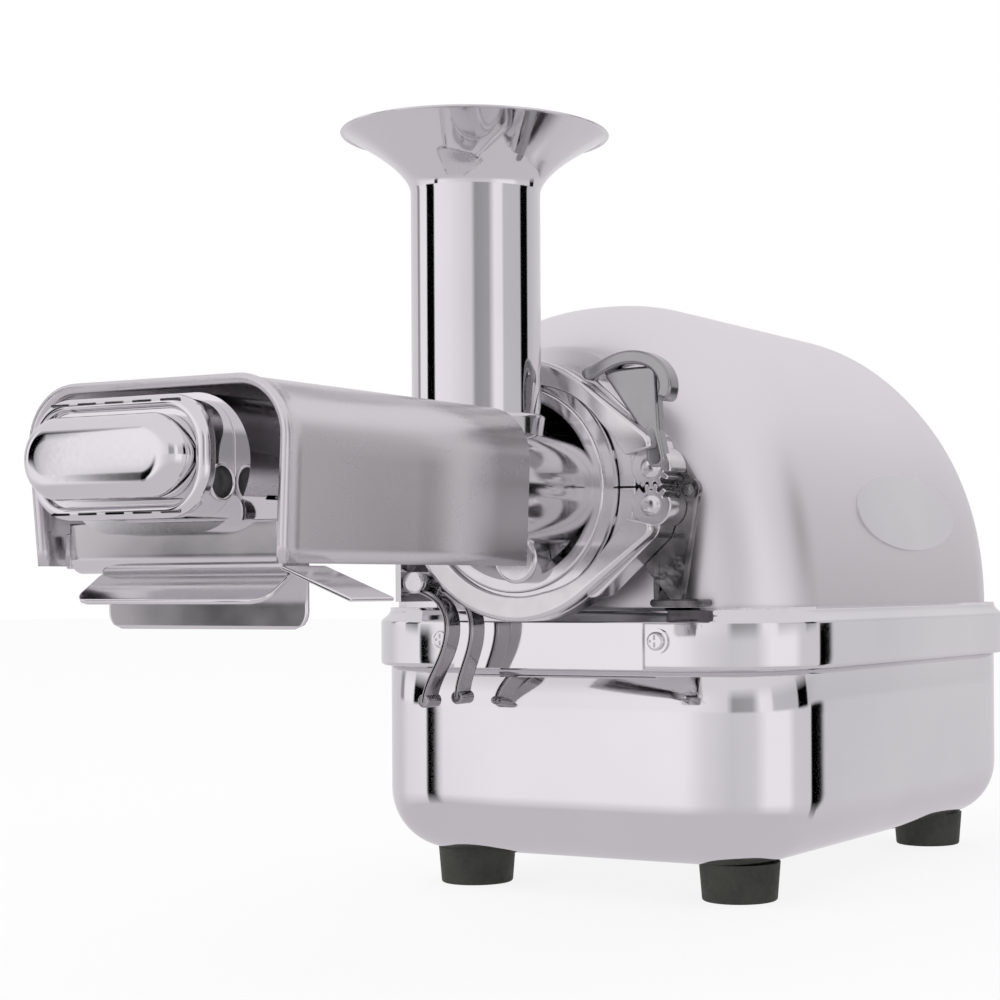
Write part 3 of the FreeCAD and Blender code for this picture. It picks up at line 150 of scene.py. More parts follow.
def lathe(name, profile, x, y, steps=128):
    # a profile of (radius, height) turned about an upright axis: radius times the angle's cosine and sine
    profile = np.asarray(profile, float)
    a = np.linspace(0, 2 * math.pi, steps, endpoint=False)[None]
    r, h = profile[:, :1], np.broadcast_to(profile[:, 1:2], (len(profile), steps))
    return surface(name, np.stack([x + r * np.cos(a), y + r * np.sin(a), h], -1), closeV=True)


def nodeTree(name):
    # an empty material with its surface shader and its texture coordinates
    material = bpy.data.materials.new(name)
    material.use_nodes = True
    tree = material.node_tree
    tree.nodes.clear()
    out = tree.nodes.new("ShaderNodeOutputMaterial")
    shader = tree.nodes.new("ShaderNodeBsdfPrincipled")
    tree.links.new(shader.outputs["BSDF"], out.inputs["Surface"])
    place = tree.nodes.new("ShaderNodeTexCoord")
    return material, tree, shader, place


def feed(tree, value, socket):
    # a number or a colour is set on the socket, and anything else is linked to it
    if isinstance(value, (int, float, tuple)):
        socket.default_value = value
    else:
        tree.links.new(value, socket)


def mathOf(tree, kind, *values):
    # the named operation on one, two or three values
    item = tree.nodes.new("ShaderNodeMath")
    item.operation = kind
    for value, socket in zip(values, item.inputs):
        feed(tree, value, socket)
    return item.outputs["Value"]


def rangeOf(tree, value, low, high, toLow=0.0, toHigh=1.0):
    # the value's share of the way from low to high, held to 0 and 1, as the same share of the second range
    change = tree.nodes.new("ShaderNodeMapRange")
    for socket, number in (("From Min", low), ("From Max", high), ("To Min", toLow), ("To Max", toHigh)):
        change.inputs[socket].default_value = number
    tree.links.new(value, change.inputs["Value"])
    return change.outputs["Result"]


def rampOf(tree, value, stops):
    # a colour at each stop's position, and straight lines between them
    ramp = tree.nodes.new("ShaderNodeValToRGB")
    while len(ramp.color_ramp.elements) < len(stops):
        ramp.color_ramp.elements.new(0.5)
    for element, (position, colour) in zip(ramp.color_ramp.elements, stops):
        element.position = position
        element.color = (*colour, 1)
    tree.links.new(value, ramp.inputs["Fac"])
    return ramp.outputs["Color"]


def mixOf(tree, factor, first, second):
    # first times one minus the factor, plus second times the factor
    mix = tree.nodes.new("ShaderNodeMixRGB")
    for value, socket in ((factor, "Fac"), (first, "Color1"), (second, "Color2")):
        feed(tree, value, mix.inputs[socket])
    return mix.outputs["Color"]


def noise(tree, place, scale, detail=3.0, stretch=(1, 1, 1)):
    # layered noise in the piece's own coordinates, times the stretch along each axis
    spread = tree.nodes.new("ShaderNodeMapping")
    spread.inputs["Scale"].default_value = stretch
    tree.links.new(place.outputs["Object"], spread.inputs["Vector"])
    grain = tree.nodes.new("ShaderNodeTexNoise")
    grain.inputs["Scale"].default_value = scale
    grain.inputs["Detail"].default_value = detail
    tree.links.new(spread.outputs["Vector"], grain.inputs["Vector"])
    return grain.outputs["Fac"]


noiseMiddle = (0.3, 0.7)


def blendRange(tree, value, low, high):
    # the middle of the noise's range, carried from low to high
    return rangeOf(tree, value, *noiseMiddle, low, high)


def blendColour(tree, value, dark, light):
    # the middle of the noise's range, from the dark colour to the light one
    return rampOf(tree, value, list(zip(noiseMiddle, (dark, light))))


def addBump(tree, shader, heights, depth):
    # the heights, times the depth, tilt the shader's normal
    bump = tree.nodes.new("ShaderNodeBump")
    bump.inputs["Distance"].default_value = depth * mm
    bump.inputs["Strength"].default_value = 1.0
    tree.links.new(heights, bump.inputs["Height"])
    tree.links.new(bump.outputs["Normal"], shader.inputs["Normal"])


def metal(name, dark, light, rough, bumpDepth=0.0, patch=9.0, grain=900.0, stretch=(1, 1, 1)):
    # buffed steel: slow colour patches, fine polishing marks in roughness, faint waviness
    material, tree, shader, place = nodeTree(name)
    shader.inputs["Metallic"].default_value = 1.0
    tree.links.new(blendColour(tree, noise(tree, place, patch), dark, light), shader.inputs["Base Color"])
    tree.links.new(blendRange(tree, noise(tree, place, grain, 4.0, stretch), *rough),
                   shader.inputs["Roughness"])
    if bumpDepth:
        addBump(tree, shader, noise(tree, place, patch * 3.0, 2.0), bumpDepth)
    return material


# where the painted shade lies in the housing's recess round the barrel, and its dark colour
recess = {"axisZ": 0.153, "mouth": (-25.5, -22.9), "radii": (0.0345, 0.0325), "heights": (0.122, 0.140),
          "dark": (0.02, 0.02, 0.022, 1)}


def housingSteelPaintedShade():
    # polished like the rest, with painted shade in the recess round the barrel, which only sees the dark
    # under the hopper:
    # the painted shade's strength is the product of three shares, how far behind the mouth, how near the
    # barrel's axis and how high a point lies
    material, tree, shader, place = nodeTree("housingSteelPaintedShade")
    shader.inputs["Metallic"].default_value = 1.0
    split = tree.nodes.new("ShaderNodeSeparateXYZ")
    tree.links.new(place.outputs["Object"], split.inputs["Vector"])
    x, y, z = (split.outputs[k] for k in "XYZ")
    up = mathOf(tree, "SUBTRACT", z, recess["axisZ"])
    squares = mathOf(tree, "ADD", mathOf(tree, "MULTIPLY", x, x), mathOf(tree, "MULTIPLY", up, up))
    behind = rangeOf(tree, y, *((depth + frontY) * mm for depth in recess["mouth"]))
    within = rangeOf(tree, mathOf(tree, "SQRT", squares), *recess["radii"])
    high = rangeOf(tree, z, *recess["heights"])
    # the painted shade's strength, which carries the pale steel's colour to the dark one
    dark = mathOf(tree, "MULTIPLY", mathOf(tree, "MULTIPLY", behind, within), high)
    pale = blendColour(tree, noise(tree, place, 12.0), (0.70, 0.69, 0.71), (0.78, 0.77, 0.79))
    tree.links.new(mixOf(tree, dark, pale, recess["dark"]), shader.inputs["Base Color"])
    tree.links.new(blendRange(tree, noise(tree, place, 200.0), 0.08, 0.13), shader.inputs["Roughness"])
    return material


def moulded(name, dark, light, rough, bumpDepth, grain=700.0):
    # rubber or plastic with a fine skin texture
    material, tree, shader, place = nodeTree(name)
    tree.links.new(blendColour(tree, noise(tree, place, 60.0), dark, light), shader.inputs["Base Color"])
    tree.links.new(blendRange(tree, noise(tree, place, grain), *rough), shader.inputs["Roughness"])
    addBump(tree, shader, noise(tree, place, grain * 1.5, 5.0), bumpDepth)
    return material


finishes = {
    "polished_steel": metal("mirrorSteel", (0.74, 0.73, 0.755), (0.82, 0.81, 0.83), (0.035, 0.075), 0.02),
    "satin_steel": metal("domeSteel", (0.85, 0.825, 0.85), (0.88, 0.86, 0.88), (0.38, 0.41), 0.0, 5.0, 40.0),
    "clamp": metal("clampSteel", (0.74, 0.73, 0.74), (0.80, 0.79, 0.805), (0.16, 0.22), 0.01, 20.0, 200.0),
    # the thumb rest's steel is a darker copy of the clamp's: painted reflection standing in for the dark it
    # mirrors
    "thumb": metal("thumbSteelPaintedDark", (0.36, 0.355, 0.365), (0.45, 0.445, 0.455), (0.14, 0.2), 0.01, 20.0, 200.0),
    "bracket": metal("bracketSteel", (0.02, 0.02, 0.022), (0.34, 0.33, 0.34), (0.1, 0.2), 0.3, 55.0, 200.0),
    # the levers' steel is a darker copy of the polished steel: painted reflection standing in for the dark
    # they mirror
    "lever": metal("leverSteelPaintedDark", (0.34, 0.335, 0.345), (0.44, 0.43, 0.445), (0.1, 0.16), 0.01, 20.0, 200.0),
    "chute": metal("chuteSteel", (0.80, 0.785, 0.805), (0.84, 0.82, 0.845), (0.12, 0.16), 0.0, 20.0, 60.0),
    "gear_steel": metal("machinedSteel", (0.42, 0.42, 0.44), (0.55, 0.55, 0.57), (0.22, 0.38), 0.01),
    "inner_steel": metal("zincPlate", (0.46, 0.47, 0.5), (0.6, 0.6, 0.62), (0.3, 0.45), 0.02),
    "cast_aluminium": metal("castAluminium", (0.5, 0.5, 0.52), (0.66, 0.66, 0.68), (0.38, 0.55), 0.12, 14.0),
    "bronze_bush": metal("sinteredBronze", (0.45, 0.28, 0.12), (0.62, 0.42, 0.2), (0.3, 0.45), 0.02),
    "copper_winding": metal("enamelledCopper", (0.45, 0.16, 0.06), (0.72, 0.33, 0.14), (0.25, 0.4), 0.3, 8.0,
                            300.0, (1, 12, 1)),
    "motor_iron": metal("laminatedIron", (0.16, 0.16, 0.17), (0.26, 0.26, 0.28), (0.4, 0.6), 0.1, 6.0, 400.0,
                        (1, 20, 1)),
    "plated_pin": metal("nickelPin", (0.62, 0.6, 0.55), (0.78, 0.75, 0.7), (0.15, 0.25)),
    "foot_rubber": moulded("footRubber", (0.028, 0.031, 0.024), (0.06, 0.064, 0.05), (0.55, 0.75), 0.05),
    "black_plastic": moulded("blackPlastic", (0.012, 0.012, 0.013), (0.03, 0.03, 0.032), (0.35, 0.5), 0.03),
    "circuit_board": moulded("boardLacquer", (0.01, 0.09, 0.04), (0.03, 0.16, 0.08), (0.2, 0.35), 0.02,
                             300.0),
    "cover": metal("coverSteel", (0.72, 0.70, 0.72), (0.76, 0.74, 0.76), (0.26, 0.29), 0.0, 5.0, 40.0),
    "housing": housingSteelPaintedShade(),
}


slotOf = {part["node"]: part["material_slot"] for part in frame["record"]["subparts"]}
for nodeName, cadObject in nodes.items():
    for place in cadObject.material_slots:
        place.material = finishes["housing" if nodeName == "juice_housing" else slotOf[nodeName]]
print("finishes made:", len(finishes))


def newPiece(piece, finish, replaced):
    # the finish it shows, and the solid whose place it takes, which is hidden
    piece.data.materials.clear()
    piece.data.materials.append(finishes[finish])
    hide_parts(replaced)


dome = {"half": 90.0, "base": 105.5, "top": 228.0, "front": 5.0, "rear": 264.0, "power": 2.3,
        "crestFront": 57.0, "frontRun": 94.0, "crestRear": 178.0, "frontCorner": 40.0, "rearCorner": 46.0,
        "rearLip": 4.0, "faceShares": (0.985, 0.9, 0.6, 0.0)}


def domeStation(y):
    # width shrinks with the plan's corner circles; height follows a quarter ellipse at each end
    d = dome
    a = np.clip(d["front"] + d["frontCorner"] - y, 0, d["frontCorner"])
    b = np.clip(y - d["rear"] + d["rearCorner"], 0, d["rearCorner"])
    width = d["half"] - d["frontCorner"] + np.sqrt(d["frontCorner"] ** 2 - a ** 2)
    width += -d["rearCorner"] + np.sqrt(d["rearCorner"] ** 2 - b ** 2)
    rise = d["top"] - d["base"]
    front = np.sqrt(1 - (np.clip(d["crestFront"] - y, 0, None) / d["frontRun"]) ** 2)
    back = np.clip((y - d["crestRear"]) / (d["rear"] + d["rearLip"] - d["crestRear"]), 0, 1)
    return width, rise * front * (1 - back ** d["power"]) ** (1 / d["power"])


def makeDome():
    # each station is a superellipse: width times cosine and height times sine, each to 2 over the power
    s = np.linspace(0, 1, 150)
    y = dome["front"] + (dome["rear"] - dome["front"]) * (0.5 - 0.5 * np.cos(math.pi * s))
    width, height = domeStation(y)
    t = np.linspace(0, math.pi, 121)
    c = np.sign(np.cos(t)) * np.abs(np.cos(t)) ** (2 / dome["power"])
    l = np.abs(np.sin(t)) ** (2 / dome["power"])
    x = width[:, None] * c[None]
    z = dome["base"] + height[:, None] * l[None]
    grid = np.stack([x, np.broadcast_to(y[:, None], x.shape) + frontY, z], -1)
    # each flat end closes to the middle of its base line, by shares of the way out to its edge
    ends = []
    for row in (0, -1):
        middle = np.array([0.0, grid[row, 0, 1], dome["base"]])
        ends.append([middle + (grid[row] - middle) * k for k in dome["faceShares"]])
    shell = surface("domeShell", np.stack([*ends[0][::-1], *grid, *ends[1]]))
    newPiece(shell, "satin_steel", "dome_cover")


makeDome()
print("dome made")

tub = {"half": 91.0, "front": 4.0, "rear": 265.0, "corner": 36.0, "bottom": 14.5, "edge": 24.0, "top": 102.0,
       "sheet": 1.5, "lap": 6.0}
band = {"half": 95.0, "front": 0.0, "rear": 269.0, "corner": 40.0, "bottom": 87.3, "top": 110.0, "bevel": 4.5}


def makeTub():
    # straight walls, a quarter circle under them and a flat floor closed by one polygon
    y0, y1 = tub["front"] + frontY, tub["rear"] + frontY
    e, top = tub["edge"], tub["top"]
    wall = [(-tub["sheet"], top - tub["lap"]), (-tub["sheet"], top), (0, top), (0, 70.0),
            (0, tub["bottom"] + e + 2)]
    bend = arcPoints(-e, tub["bottom"] + e, e, 0, -90, 14)
    floor = [(-e - 5, tub["bottom"]), (-tub["corner"] + 0.5, tub["bottom"])]
    shell = ringWall("tubShell", tub["half"], y0, y1, tub["corner"], [*wall, *bend, *floor], endCap=True)
    newPiece(shell, "polished_steel", "base_tub")


def makeBand():
    # a flat face between a quarter circle at the bottom and a bevel with a round shoulder at the top
    y0, y1 = band["front"] + frontY, band["rear"] + frontY
    low, top = band["bottom"], band["top"]
    shoulder = top - band["bevel"] - 1.5
    profile = [(-3.8, low + 1.0), (-3.6, low + 0.2), (-2.4, low), *arcPoints(-1.6, low + 1.6, 1.6, -90, 0, 6),
               (0, low + 4), (0, shoulder), *arcPoints(-1.8, shoulder, 1.8, 0, 50, 6),
               (-2.6, shoulder + 3.0), (-3.6, top - 1.4), (-3.85, top), (-3.85, top - 8)]
    ring = ringWall("bandRing", band["half"], y0, y1, band["corner"], profile)
    newPiece(ring, "polished_steel", "trim_band")


makeTub()
makeBand()
print("tub and band made")

hopper = {"y": -46.6, "radius": 22.7, "rim": 47.1, "top": 277.3, "flare": 20.7, "power": 1.65, "wall": 1.2,
          "low": 172.5}


def makeHopper():
    # the flare widens by a power of the height above its start, softened where it leaves the straight tube
    h = hopper
    t = np.linspace(-0.25, 1, 60)
    r = h["radius"] + (h["rim"] - h["radius"]) * np.clip(t, 0, 1) ** h["power"]
    z = h["top"] - h["flare"] + h["flare"] * t
    soft = np.convolve(np.pad(r, 3, mode="edge"), np.ones(7) / 7, mode="valid")
    r = np.where(t < 0.4, soft, r)
    outer = np.stack([r, z], -1)
    outer[-1] = (h["rim"] - 0.3, h["top"] - 0.9)
    lip = [(h["rim"], h["top"] - 0.5), (h["rim"] - 0.3, h["top"] - 0.05), (h["rim"] - 1.2, h["top"])]
    thin = h["wall"] * (1 - 0.35 * np.clip(t, 0, 1))
    inner = np.stack([r - thin, z + 0.9 * h["wall"] * np.clip(t, 0, 1)], -1)[::-1][2:]
    inner[:, 1] = np.minimum(inner[:, 1], h["top"] - 0.1)
    outside, inside, low = h["radius"], h["radius"] - h["wall"], h["low"]
    start = [(inside, low + 0.4), (inside + 0.3, low), (outside - 0.3, low), (outside, low + 0.3),
             (outside, low + 0.8), (outside, 210.0), (outside, 245.0)]
    end = [(inside, 245.0), (inside, 200.0), (inside, low + 0.8), (inside, low + 0.4)]
    tube = lathe("hopperTube", [*start, *outer, *lip, *inner, *end], 0, h["y"] + frontY)
    newPiece(tube, "polished_steel", "feed_hopper")


makeHopper()
print("hopper made")

bodyOf = {n: b for b, group in frame["record"]["behaviour"]["bodies"].items() for n in group}


def beltLoop(circles, count=96):
    # outline of a belt round the circles: each direction touches the circle that reaches furthest along it
    a = np.linspace(0, 2 * math.pi, count, endpoint=False)
    n = np.stack([np.cos(a), np.sin(a)], -1)
    discs = np.array(circles, float)
    best = np.argmax(n @ discs[:, :2].T + discs[:, 2], axis=1)
    return lambda inset: discs[best, :2] + n * (discs[best, 2:] - inset)


def polarLoop(x, z, angles, radii):
    # outline given as a distance from a centre in each direction
    n = np.stack([np.cos(angles), np.sin(angles)], -1)
    return lambda inset: np.array([x, z]) + n * (radii - inset)[:, None]


def rowsAround(loop, rows):
    # the outline once for each row (inset, y), set in by the first number and standing at the second
    grid = []
    for inset, y in rows:
        flat = loop(inset)
        grid.append(np.stack([flat[:, 0], np.full(len(flat), y + frontY), flat[:, 1]], -1))
    return gridFaces(np.stack(grid))


def slab(loop, y0, y1, edge, backEdge=0.3):
    # a plate along Y whose edges roll over by quarter circles, with a support loop either side of each
    rows = []
    front = edge * (1 - np.sin(np.linspace(0, math.pi / 2, 6)))
    for inset in (edge + 0.35, *front):
        turn = math.asin(min(1, max(0, 1 - inset / edge)))
        depth = edge * (1 - math.cos(turn)) if inset <= edge else 0.0
        rows.append((inset, y0 + depth))
    rows += [(0.0, y0 + edge + 0.35), (0.0, y1 - backEdge - 0.3), (0.0, y1 - backEdge), (backEdge, y1)]
    return rowsAround(loop, rows)


def gridFaces(grid):
    # rows by columns joined into quads and closed across, with one polygon over each end
    rows, cols = grid.shape[:2]
    index = np.arange(rows * cols).reshape(rows, cols)
    ends = [index[0].tolist(), index[-1][::-1].tolist()]
    return grid.reshape(-1, 3), quadsOf(np.hstack([index, index[:, :1]])) + ends


def assemble(name, parts, node, finish=None):
    # closed parts laid in one mesh, on the body of the solid that it replaces
    points, faces, start = [], [], 0
    for p, f in parts:
        points.append(p)
        faces += [[i + start for i in face] for face in f]
        start += len(p)
    piece = meshPiece(name, np.vstack(points), faces, bodyOf[node])
    newPiece(piece, finish or slotOf[node], node)


def sweep(points, sides, y0, y1, thick):
    # a strap of even thickness along a smooth line through the points, rounded at its edges and its tips
    line = np.array(points, float)
    run = np.r_[0, np.cumsum(np.hypot(*np.diff(line, axis=0).T))]
    s = np.linspace(0, run[-1], sides)
    fit = np.polyfit(run / run[-1], line, min(6, len(line) - 1))
    u = (s / run[-1])[:, None]
    powers = u ** np.arange(len(fit) - 1, -1, -1)[None]
    mid = powers @ fit
    ahead = np.gradient(mid, axis=0)
    ahead /= np.linalg.norm(ahead, axis=1, keepdims=True)
    out = np.stack([-ahead[:, 1], ahead[:, 0]], -1)
    h = thick / 2
    roll = min(h, 1.1) * 0.95
    q = np.linspace(0, math.pi / 2, 6)
    quarter = np.stack([h - roll + roll * np.cos(q), (y1 - y0) / 2 - roll + roll * np.sin(q)], -1)
    quarter = np.vstack([[quarter[0, 0], quarter[0, 1] - 0.4], quarter,
                         [quarter[-1, 0] - 0.3, quarter[-1, 1]]])
    loop = np.vstack([quarter, quarter[::-1] * [-1, 1], quarter * [-1, -1], quarter[::-1] * [1, -1]])
    rows = []
    for i, k in ((0, -1), (-1, 1)):
        a = np.linspace(0, math.pi / 2, 7)[::-1]
        ends = [(mid[i] + k * ahead[i] * h * math.sin(v), out[i], max(math.cos(v), 0.06)) for v in a]
        rows.append(ends if k < 0 else ends[::-1])
    middle = [(mid[i], out[i], 1.0) for i in range(1, sides - 1)]
    grid = []
    for centre, normal, grow in [*rows[0], *middle, *rows[1]]:
        xz = centre[None] + normal[None] * loop[:, :1] * grow
        y = (y0 + y1) / 2 + frontY + loop[:, 1] * min(1, 0.82 + 0.18 * grow)
        grid.append(np.stack([xz[:, 0], y, xz[:, 1]], -1))
    return gridFaces(np.stack(grid))


cover = {"front": -212.8, "rear": -86.9, "top": 176.8, "half": 47.2, "corner": 17.0, "bottom": 124.6,
         "lean": 1.5, "sheet": 1.2, "rim": 2.6}


def coverLine(grow):
    # left edge up, round over the top and down the right side
    c = cover
    half, top, r = c["half"] + grow, c["top"] + grow, c["corner"] + grow
    left = np.linspace((-half + c["lean"] + 2, c["bottom"]), (-half, top - r), 8)
    a = arcPoints(-half + r, top - r, r, 180, 90, 14)
    flat = np.linspace((-half + r, top), (half - r, top), 10)[1:-1]
    b = arcPoints(half - r, top - r, r, 90, 0, 14)
    right = np.linspace((half, top - r), (half - c["lean"], c["bottom"]), 8)
    return np.vstack([left[:-1], a, flat, b, right[1:]])


def makeCover():
    # the cover's line at each station: inside, round the rolled front rim, then back over the outside
    c = cover
    y0, y1 = c["front"] + frontY, c["rear"] + frontY
    stations = [(-c["sheet"], y1), (-c["sheet"], y0 + 8), (-c["sheet"], y0 + 3.2), (-c["rim"], y0 + 2.6),
                (-c["rim"], y0 + 1.0), (-1.6, y0 + 0.1), (-0.5, y0), (0.35, y0 + 0.4), (0.6, y0 + 1.2),
                (0.45, y0 + 2.4), (0.0, y0 + 3.2), (0.0, y0 + 8), (0.0, (y0 + y1) / 2), (0.0, y1 - 0.3),
                (-0.3, y1)]
    rows = []
    for grow, y in stations:
        line = coverLine(grow)
        rows.append(np.stack([line[:, 0], np.full(len(line), y), line[:, 1]], -1))
    grid = np.stack(rows).transpose(1, 0, 2)
    assemble("coverSheet", [gridFaces(grid)], "juice_cover", "cover")


makeCover()
print("cover made")

axis = {"z": 153.0}
clamp = {"flange": 41.3, "outer": 47.7, "front": -23.5, "back": -6.0, "lug": -18.0, "hub": 5.1, "knee": 3.0,
         "kneeIn": 4.4, "faceStart": 13.5, "rearStart": 0.5, "end": 179.0,
         "pivotX": 54.0, "high": 159.6, "low": 146.4, "rootAngle": 49.0, "rootReach": 44.9, "armHalf": 5.2,
         "kneeAngle": 17.0, "elbowOut": 2.0, "elbowRise": 14.8, "elbow": 4.6, "lugRadius": 7.9, "teeth": 12,
         "tip": 7.6, "valley": 5.3, "mouthAngles": (10.8, 16.5, 24, 32, 46, 58, 71, 90, 180),
         "mouthRadii": (49.0, 46.7, 44.6, 43.2, 42.0, 40.6, 39.1, 38.6, 38.6),
         "ear": ((-33.9, 124.6, 3.0), (-40.0, 119.6, 4.2)), "earFront": -17.5, "earBack": -14.5}
pad = {"top": 200.8, "thick": 4.8, "front": -23.5, "back": -16.0, "stemFront": -20.5, "stemBack": -15.5,
       "line": ((-22.5, -7.2), (-17.5, -5.5), (-11.5, -3.2), (-4.3, -2.4), (2.0, -4.1), (6.5, -7.6),
                (8.3, -12.3), (7.8, -16.0)),
       "waist": (1.5, 19.0, 3.0), "webCorners": ((0.8, -8.0, 2.5), (-15.0, -8.0, 2.0)),
       "root": (3.0, 3.4, 3.5)}


def reach(angles, discs):
    # from the axis to the belt round the discs: the least of support over cosine, over all directions
    n = np.linspace(-math.pi, math.pi, 721)
    spots = np.array(discs, float)
    along = (spots[:, :1] * np.cos(n) + (spots[:, 1:2] - axis["z"]) * np.sin(n) + spots[:, 2:]).max(axis=0)
    away = np.cos(angles[:, None] - n[None])
    return np.where(away > 0.05, along[None] / np.maximum(away, 0.05), 1e6).min(axis=1)


def ringSector(low, high, outer, inner, y0, y1, edge):
    # a section (radius, y) with rolled front edges, turned between two angles; it follows both radii
    a = np.radians(np.r_[low, low + 0.5, np.linspace(low, high, 100)[1:-1], high - 0.5, high])
    o, i = outer(a)[:, None], inner(a)[:, None]
    q = np.linspace(0, math.pi / 2, 7)[None]
    flat = np.zeros_like(o)
    deep = np.maximum(i, clamp["flange"])
    radius = np.hstack([i, i + 0.12, i + 0.4, i + 0.8, o - edge - 0.4, o - edge + edge * np.sin(q), o, o,
                        o - 0.3, o - 0.7, deep + 0.4, deep, deep, i + 0.3, i])
    depth = [y0 + 0.4, y0 + 0.12, y0, y0, y0, *(y0 + edge - edge * np.cos(q[0])), y0 + edge + 0.4, y1 - 0.3,
             y1, y1, y1, y1 - 0.3, y0 + 1.9, y0 + 1.7, y0 + 1.5]
    grid = np.stack([radius * np.cos(a)[:, None], flat + np.array(depth)[None] + frontY,
                     axis["z"] + radius * np.sin(a)[:, None]], -1)
    return gridFaces(grid)


def lugLoop(z, upper):
    # a smooth round lug, cut with trapezoid teeth on the side that rolls on the other half's
    c = clamp
    a = np.linspace(0, 2 * math.pi, 361)[:-1]
    phase = 0.0 if upper else math.pi / c["teeth"]
    wave = np.clip(1.9 * np.cos(c["teeth"] * (a - phase)), -1, 1) * 0.5 + 0.5
    teeth = c["valley"] + (c["tip"] - c["valley"]) * wave
    degrees = np.degrees(np.arctan2(np.sin(a), np.cos(a)))
    open1 = (degrees > -128) & (degrees < -12) if upper else (degrees > 12) & (degrees < 128)
    return polarLoop(c["pivotX"], z, a, np.where(open1, teeth, c["lugRadius"]))


def clampParts(upper):
    # the ring's face and rear, then the arm from root to elbow and on to the hub, the web and the toothed lug
    c = clamp
    sign = 1 if upper else -1
    z = c["high"] if upper else c["low"]

    def onRing(angle, away, disc):
        a = math.radians(angle) * sign
        return away * math.cos(a), axis["z"] + away * math.sin(a), disc

    def between(start):
        return sorted((start * sign, c["end"] * sign))

    root = onRing(c["rootAngle"], c["rootReach"], c["armHalf"])
    knee = onRing(c["kneeAngle"], c["outer"] - c["kneeIn"], c["knee"])
    elbow = (c["pivotX"] - c["elbowOut"], axis["z"] + c["elbowRise"] * sign, c["elbow"])
    hub = (c["pivotX"], z, c["hub"])
    mouth = np.radians(c["mouthAngles"])
    face = ringSector(*between(c["faceStart"]), lambda v: reach(v, [(0.0, axis["z"], c["outer"]), elbow]),
                      lambda v: np.interp(np.abs(v), mouth, c["mouthRadii"]), c["front"], c["lug"] + 0.6, 1.6)
    rear = ringSector(*between(c["rearStart"]), lambda v: 0 * v + c["outer"], lambda v: 0 * v + c["flange"],
                      c["lug"] + 0.2, c["back"], 0.6)
    return [face, rear, slab(beltLoop([root, elbow]), c["lug"] + 0.4, c["back"] - 0.2, 0.6),
            slab(beltLoop([elbow, hub]), c["lug"] + 0.15, c["back"] - 0.1, 1.0),
            slab(beltLoop([hub, knee]), c["lug"] + 0.3, c["back"] - 0.3, 1.0),
            slab(lugLoop(z, upper), c["lug"], c["back"], 0.5)]


def makeClamp():
    # belts round discs for the web and stem, a strap for the thumb rest, and the lower half with its ear
    c, p = clamp, pad
    x, top = c["pivotX"], p["top"]
    waist = (x + p["waist"][0], axis["z"] + p["waist"][1], p["waist"][2])
    root = (x + p["root"][0], c["high"] + p["root"][1], p["root"][2])
    corners = [(x + dx, top + dz, disc) for dx, dz, disc in p["webCorners"]]
    web = slab(beltLoop([waist, *corners]), p["stemFront"], p["stemBack"], 1.2)
    stem = slab(beltLoop([root, waist]), p["stemFront"] - 0.1, p["stemBack"] + 0.1, 1.2)
    crown = sweep([(x + dx, top + dz) for dx, dz in p["line"]], 40, p["front"], p["back"], p["thick"])
    assemble("clampUpperForged", clampParts(True), "clamp_upper", "clamp")
    assemble("thumbLeverForged", [web, stem, crown], "clamp_upper", "thumb")
    ear = slab(beltLoop(c["ear"]), c["earFront"], c["earBack"], 0.5)
    assemble("clampLowerForged", [*clampParts(False), ear], "clamp_lower", "clamp")


def lathePart(profile, x, y, z, steps=72):
    # (radius, distance back) turned about Y: radius times the angle's cosine and sine
    profile = np.asarray(profile, float)
    a = np.linspace(0, 2 * math.pi, steps, endpoint=False)[None]
    back = np.broadcast_to(y + frontY + profile[:, 1:2], (len(profile), steps))
    return gridFaces(np.stack([x + profile[:, :1] * np.cos(a), back, z - profile[:, :1] * np.sin(a)], -1))


def roundHead(radius, rise, steps):
    # a quarter ellipse from near the axis out to the radius, as (radius, distance back)
    return [(radius * math.sin(v), rise * (1 - math.cos(v))) for v in np.linspace(0.05, math.pi / 2, steps)]


pin = {"head": 3.9, "rise": 1.5, "collar": 1.8, "shank": 2.5, "end": 17.0}


def makePins():
    # a round head over a straight shank, once for each half of the clamp
    c, p = clamp, pin
    profile = [*roundHead(p["head"], p["rise"], 12), (p["head"], p["collar"] - 0.1),
               (p["head"] - 0.1, p["collar"]), (p["shank"], p["collar"]), (p["shank"], p["collar"] + 0.4),
               (p["shank"], p["end"])]
    parts = [lathePart(profile, c["pivotX"], c["lug"] - p["collar"], z) for z in (c["high"], c["low"])]
    assemble("hingePinsTurned", parts, "hinge_pins", "clamp")


bracket = {"front": -5.6, "back": -2.5, "postBack": 4.0, "footBack": 4.6, "postX": 49.4,
           "footX": (48.0, 65.3), "boltX": 62.4, "boltZ": 152.0, "boss": 4.4, "bolt": 2.4, "boltRise": 1.2,
           "boltProud": 1.3, "web": ((48.4, 126.0, 4.0), (57.4, 112.3, 2.0), (61.6, 151.5, 4.8),
                                     (55.4, 161.0, 5.0),
                   (38.4, 173.0, 3.0))}


def makeBracket():
    # a web and a post as belts round discs, with a foot, a boss and a bolt
    b = bracket
    post = [(b["postX"], 112.0, 1.2), (b["postX"], 128.0, 1.2)]
    foot = [(x, 111.8, 1.4) for x in b["footX"]]
    bolt = [*roundHead(b["bolt"], b["boltRise"], 8), (b["bolt"], 2.0)]
    parts = [slab(beltLoop(b["web"]), b["front"], b["back"], 0.9),
             slab(beltLoop(post), b["front"] - 0.25, b["postBack"], 0.2),
             slab(beltLoop([(b["boltX"], b["boltZ"], b["boss"])]), b["front"] - 0.25, b["back"] - 0.2, 0.2),
             slab(beltLoop(foot), b["front"] - 0.3, b["footBack"], 0.5),
             lathePart(bolt, b["boltX"], b["front"] - b["boltProud"], b["boltZ"])]
    assemble("hingeBracketPressed", parts, "hinge_bracket", "bracket")


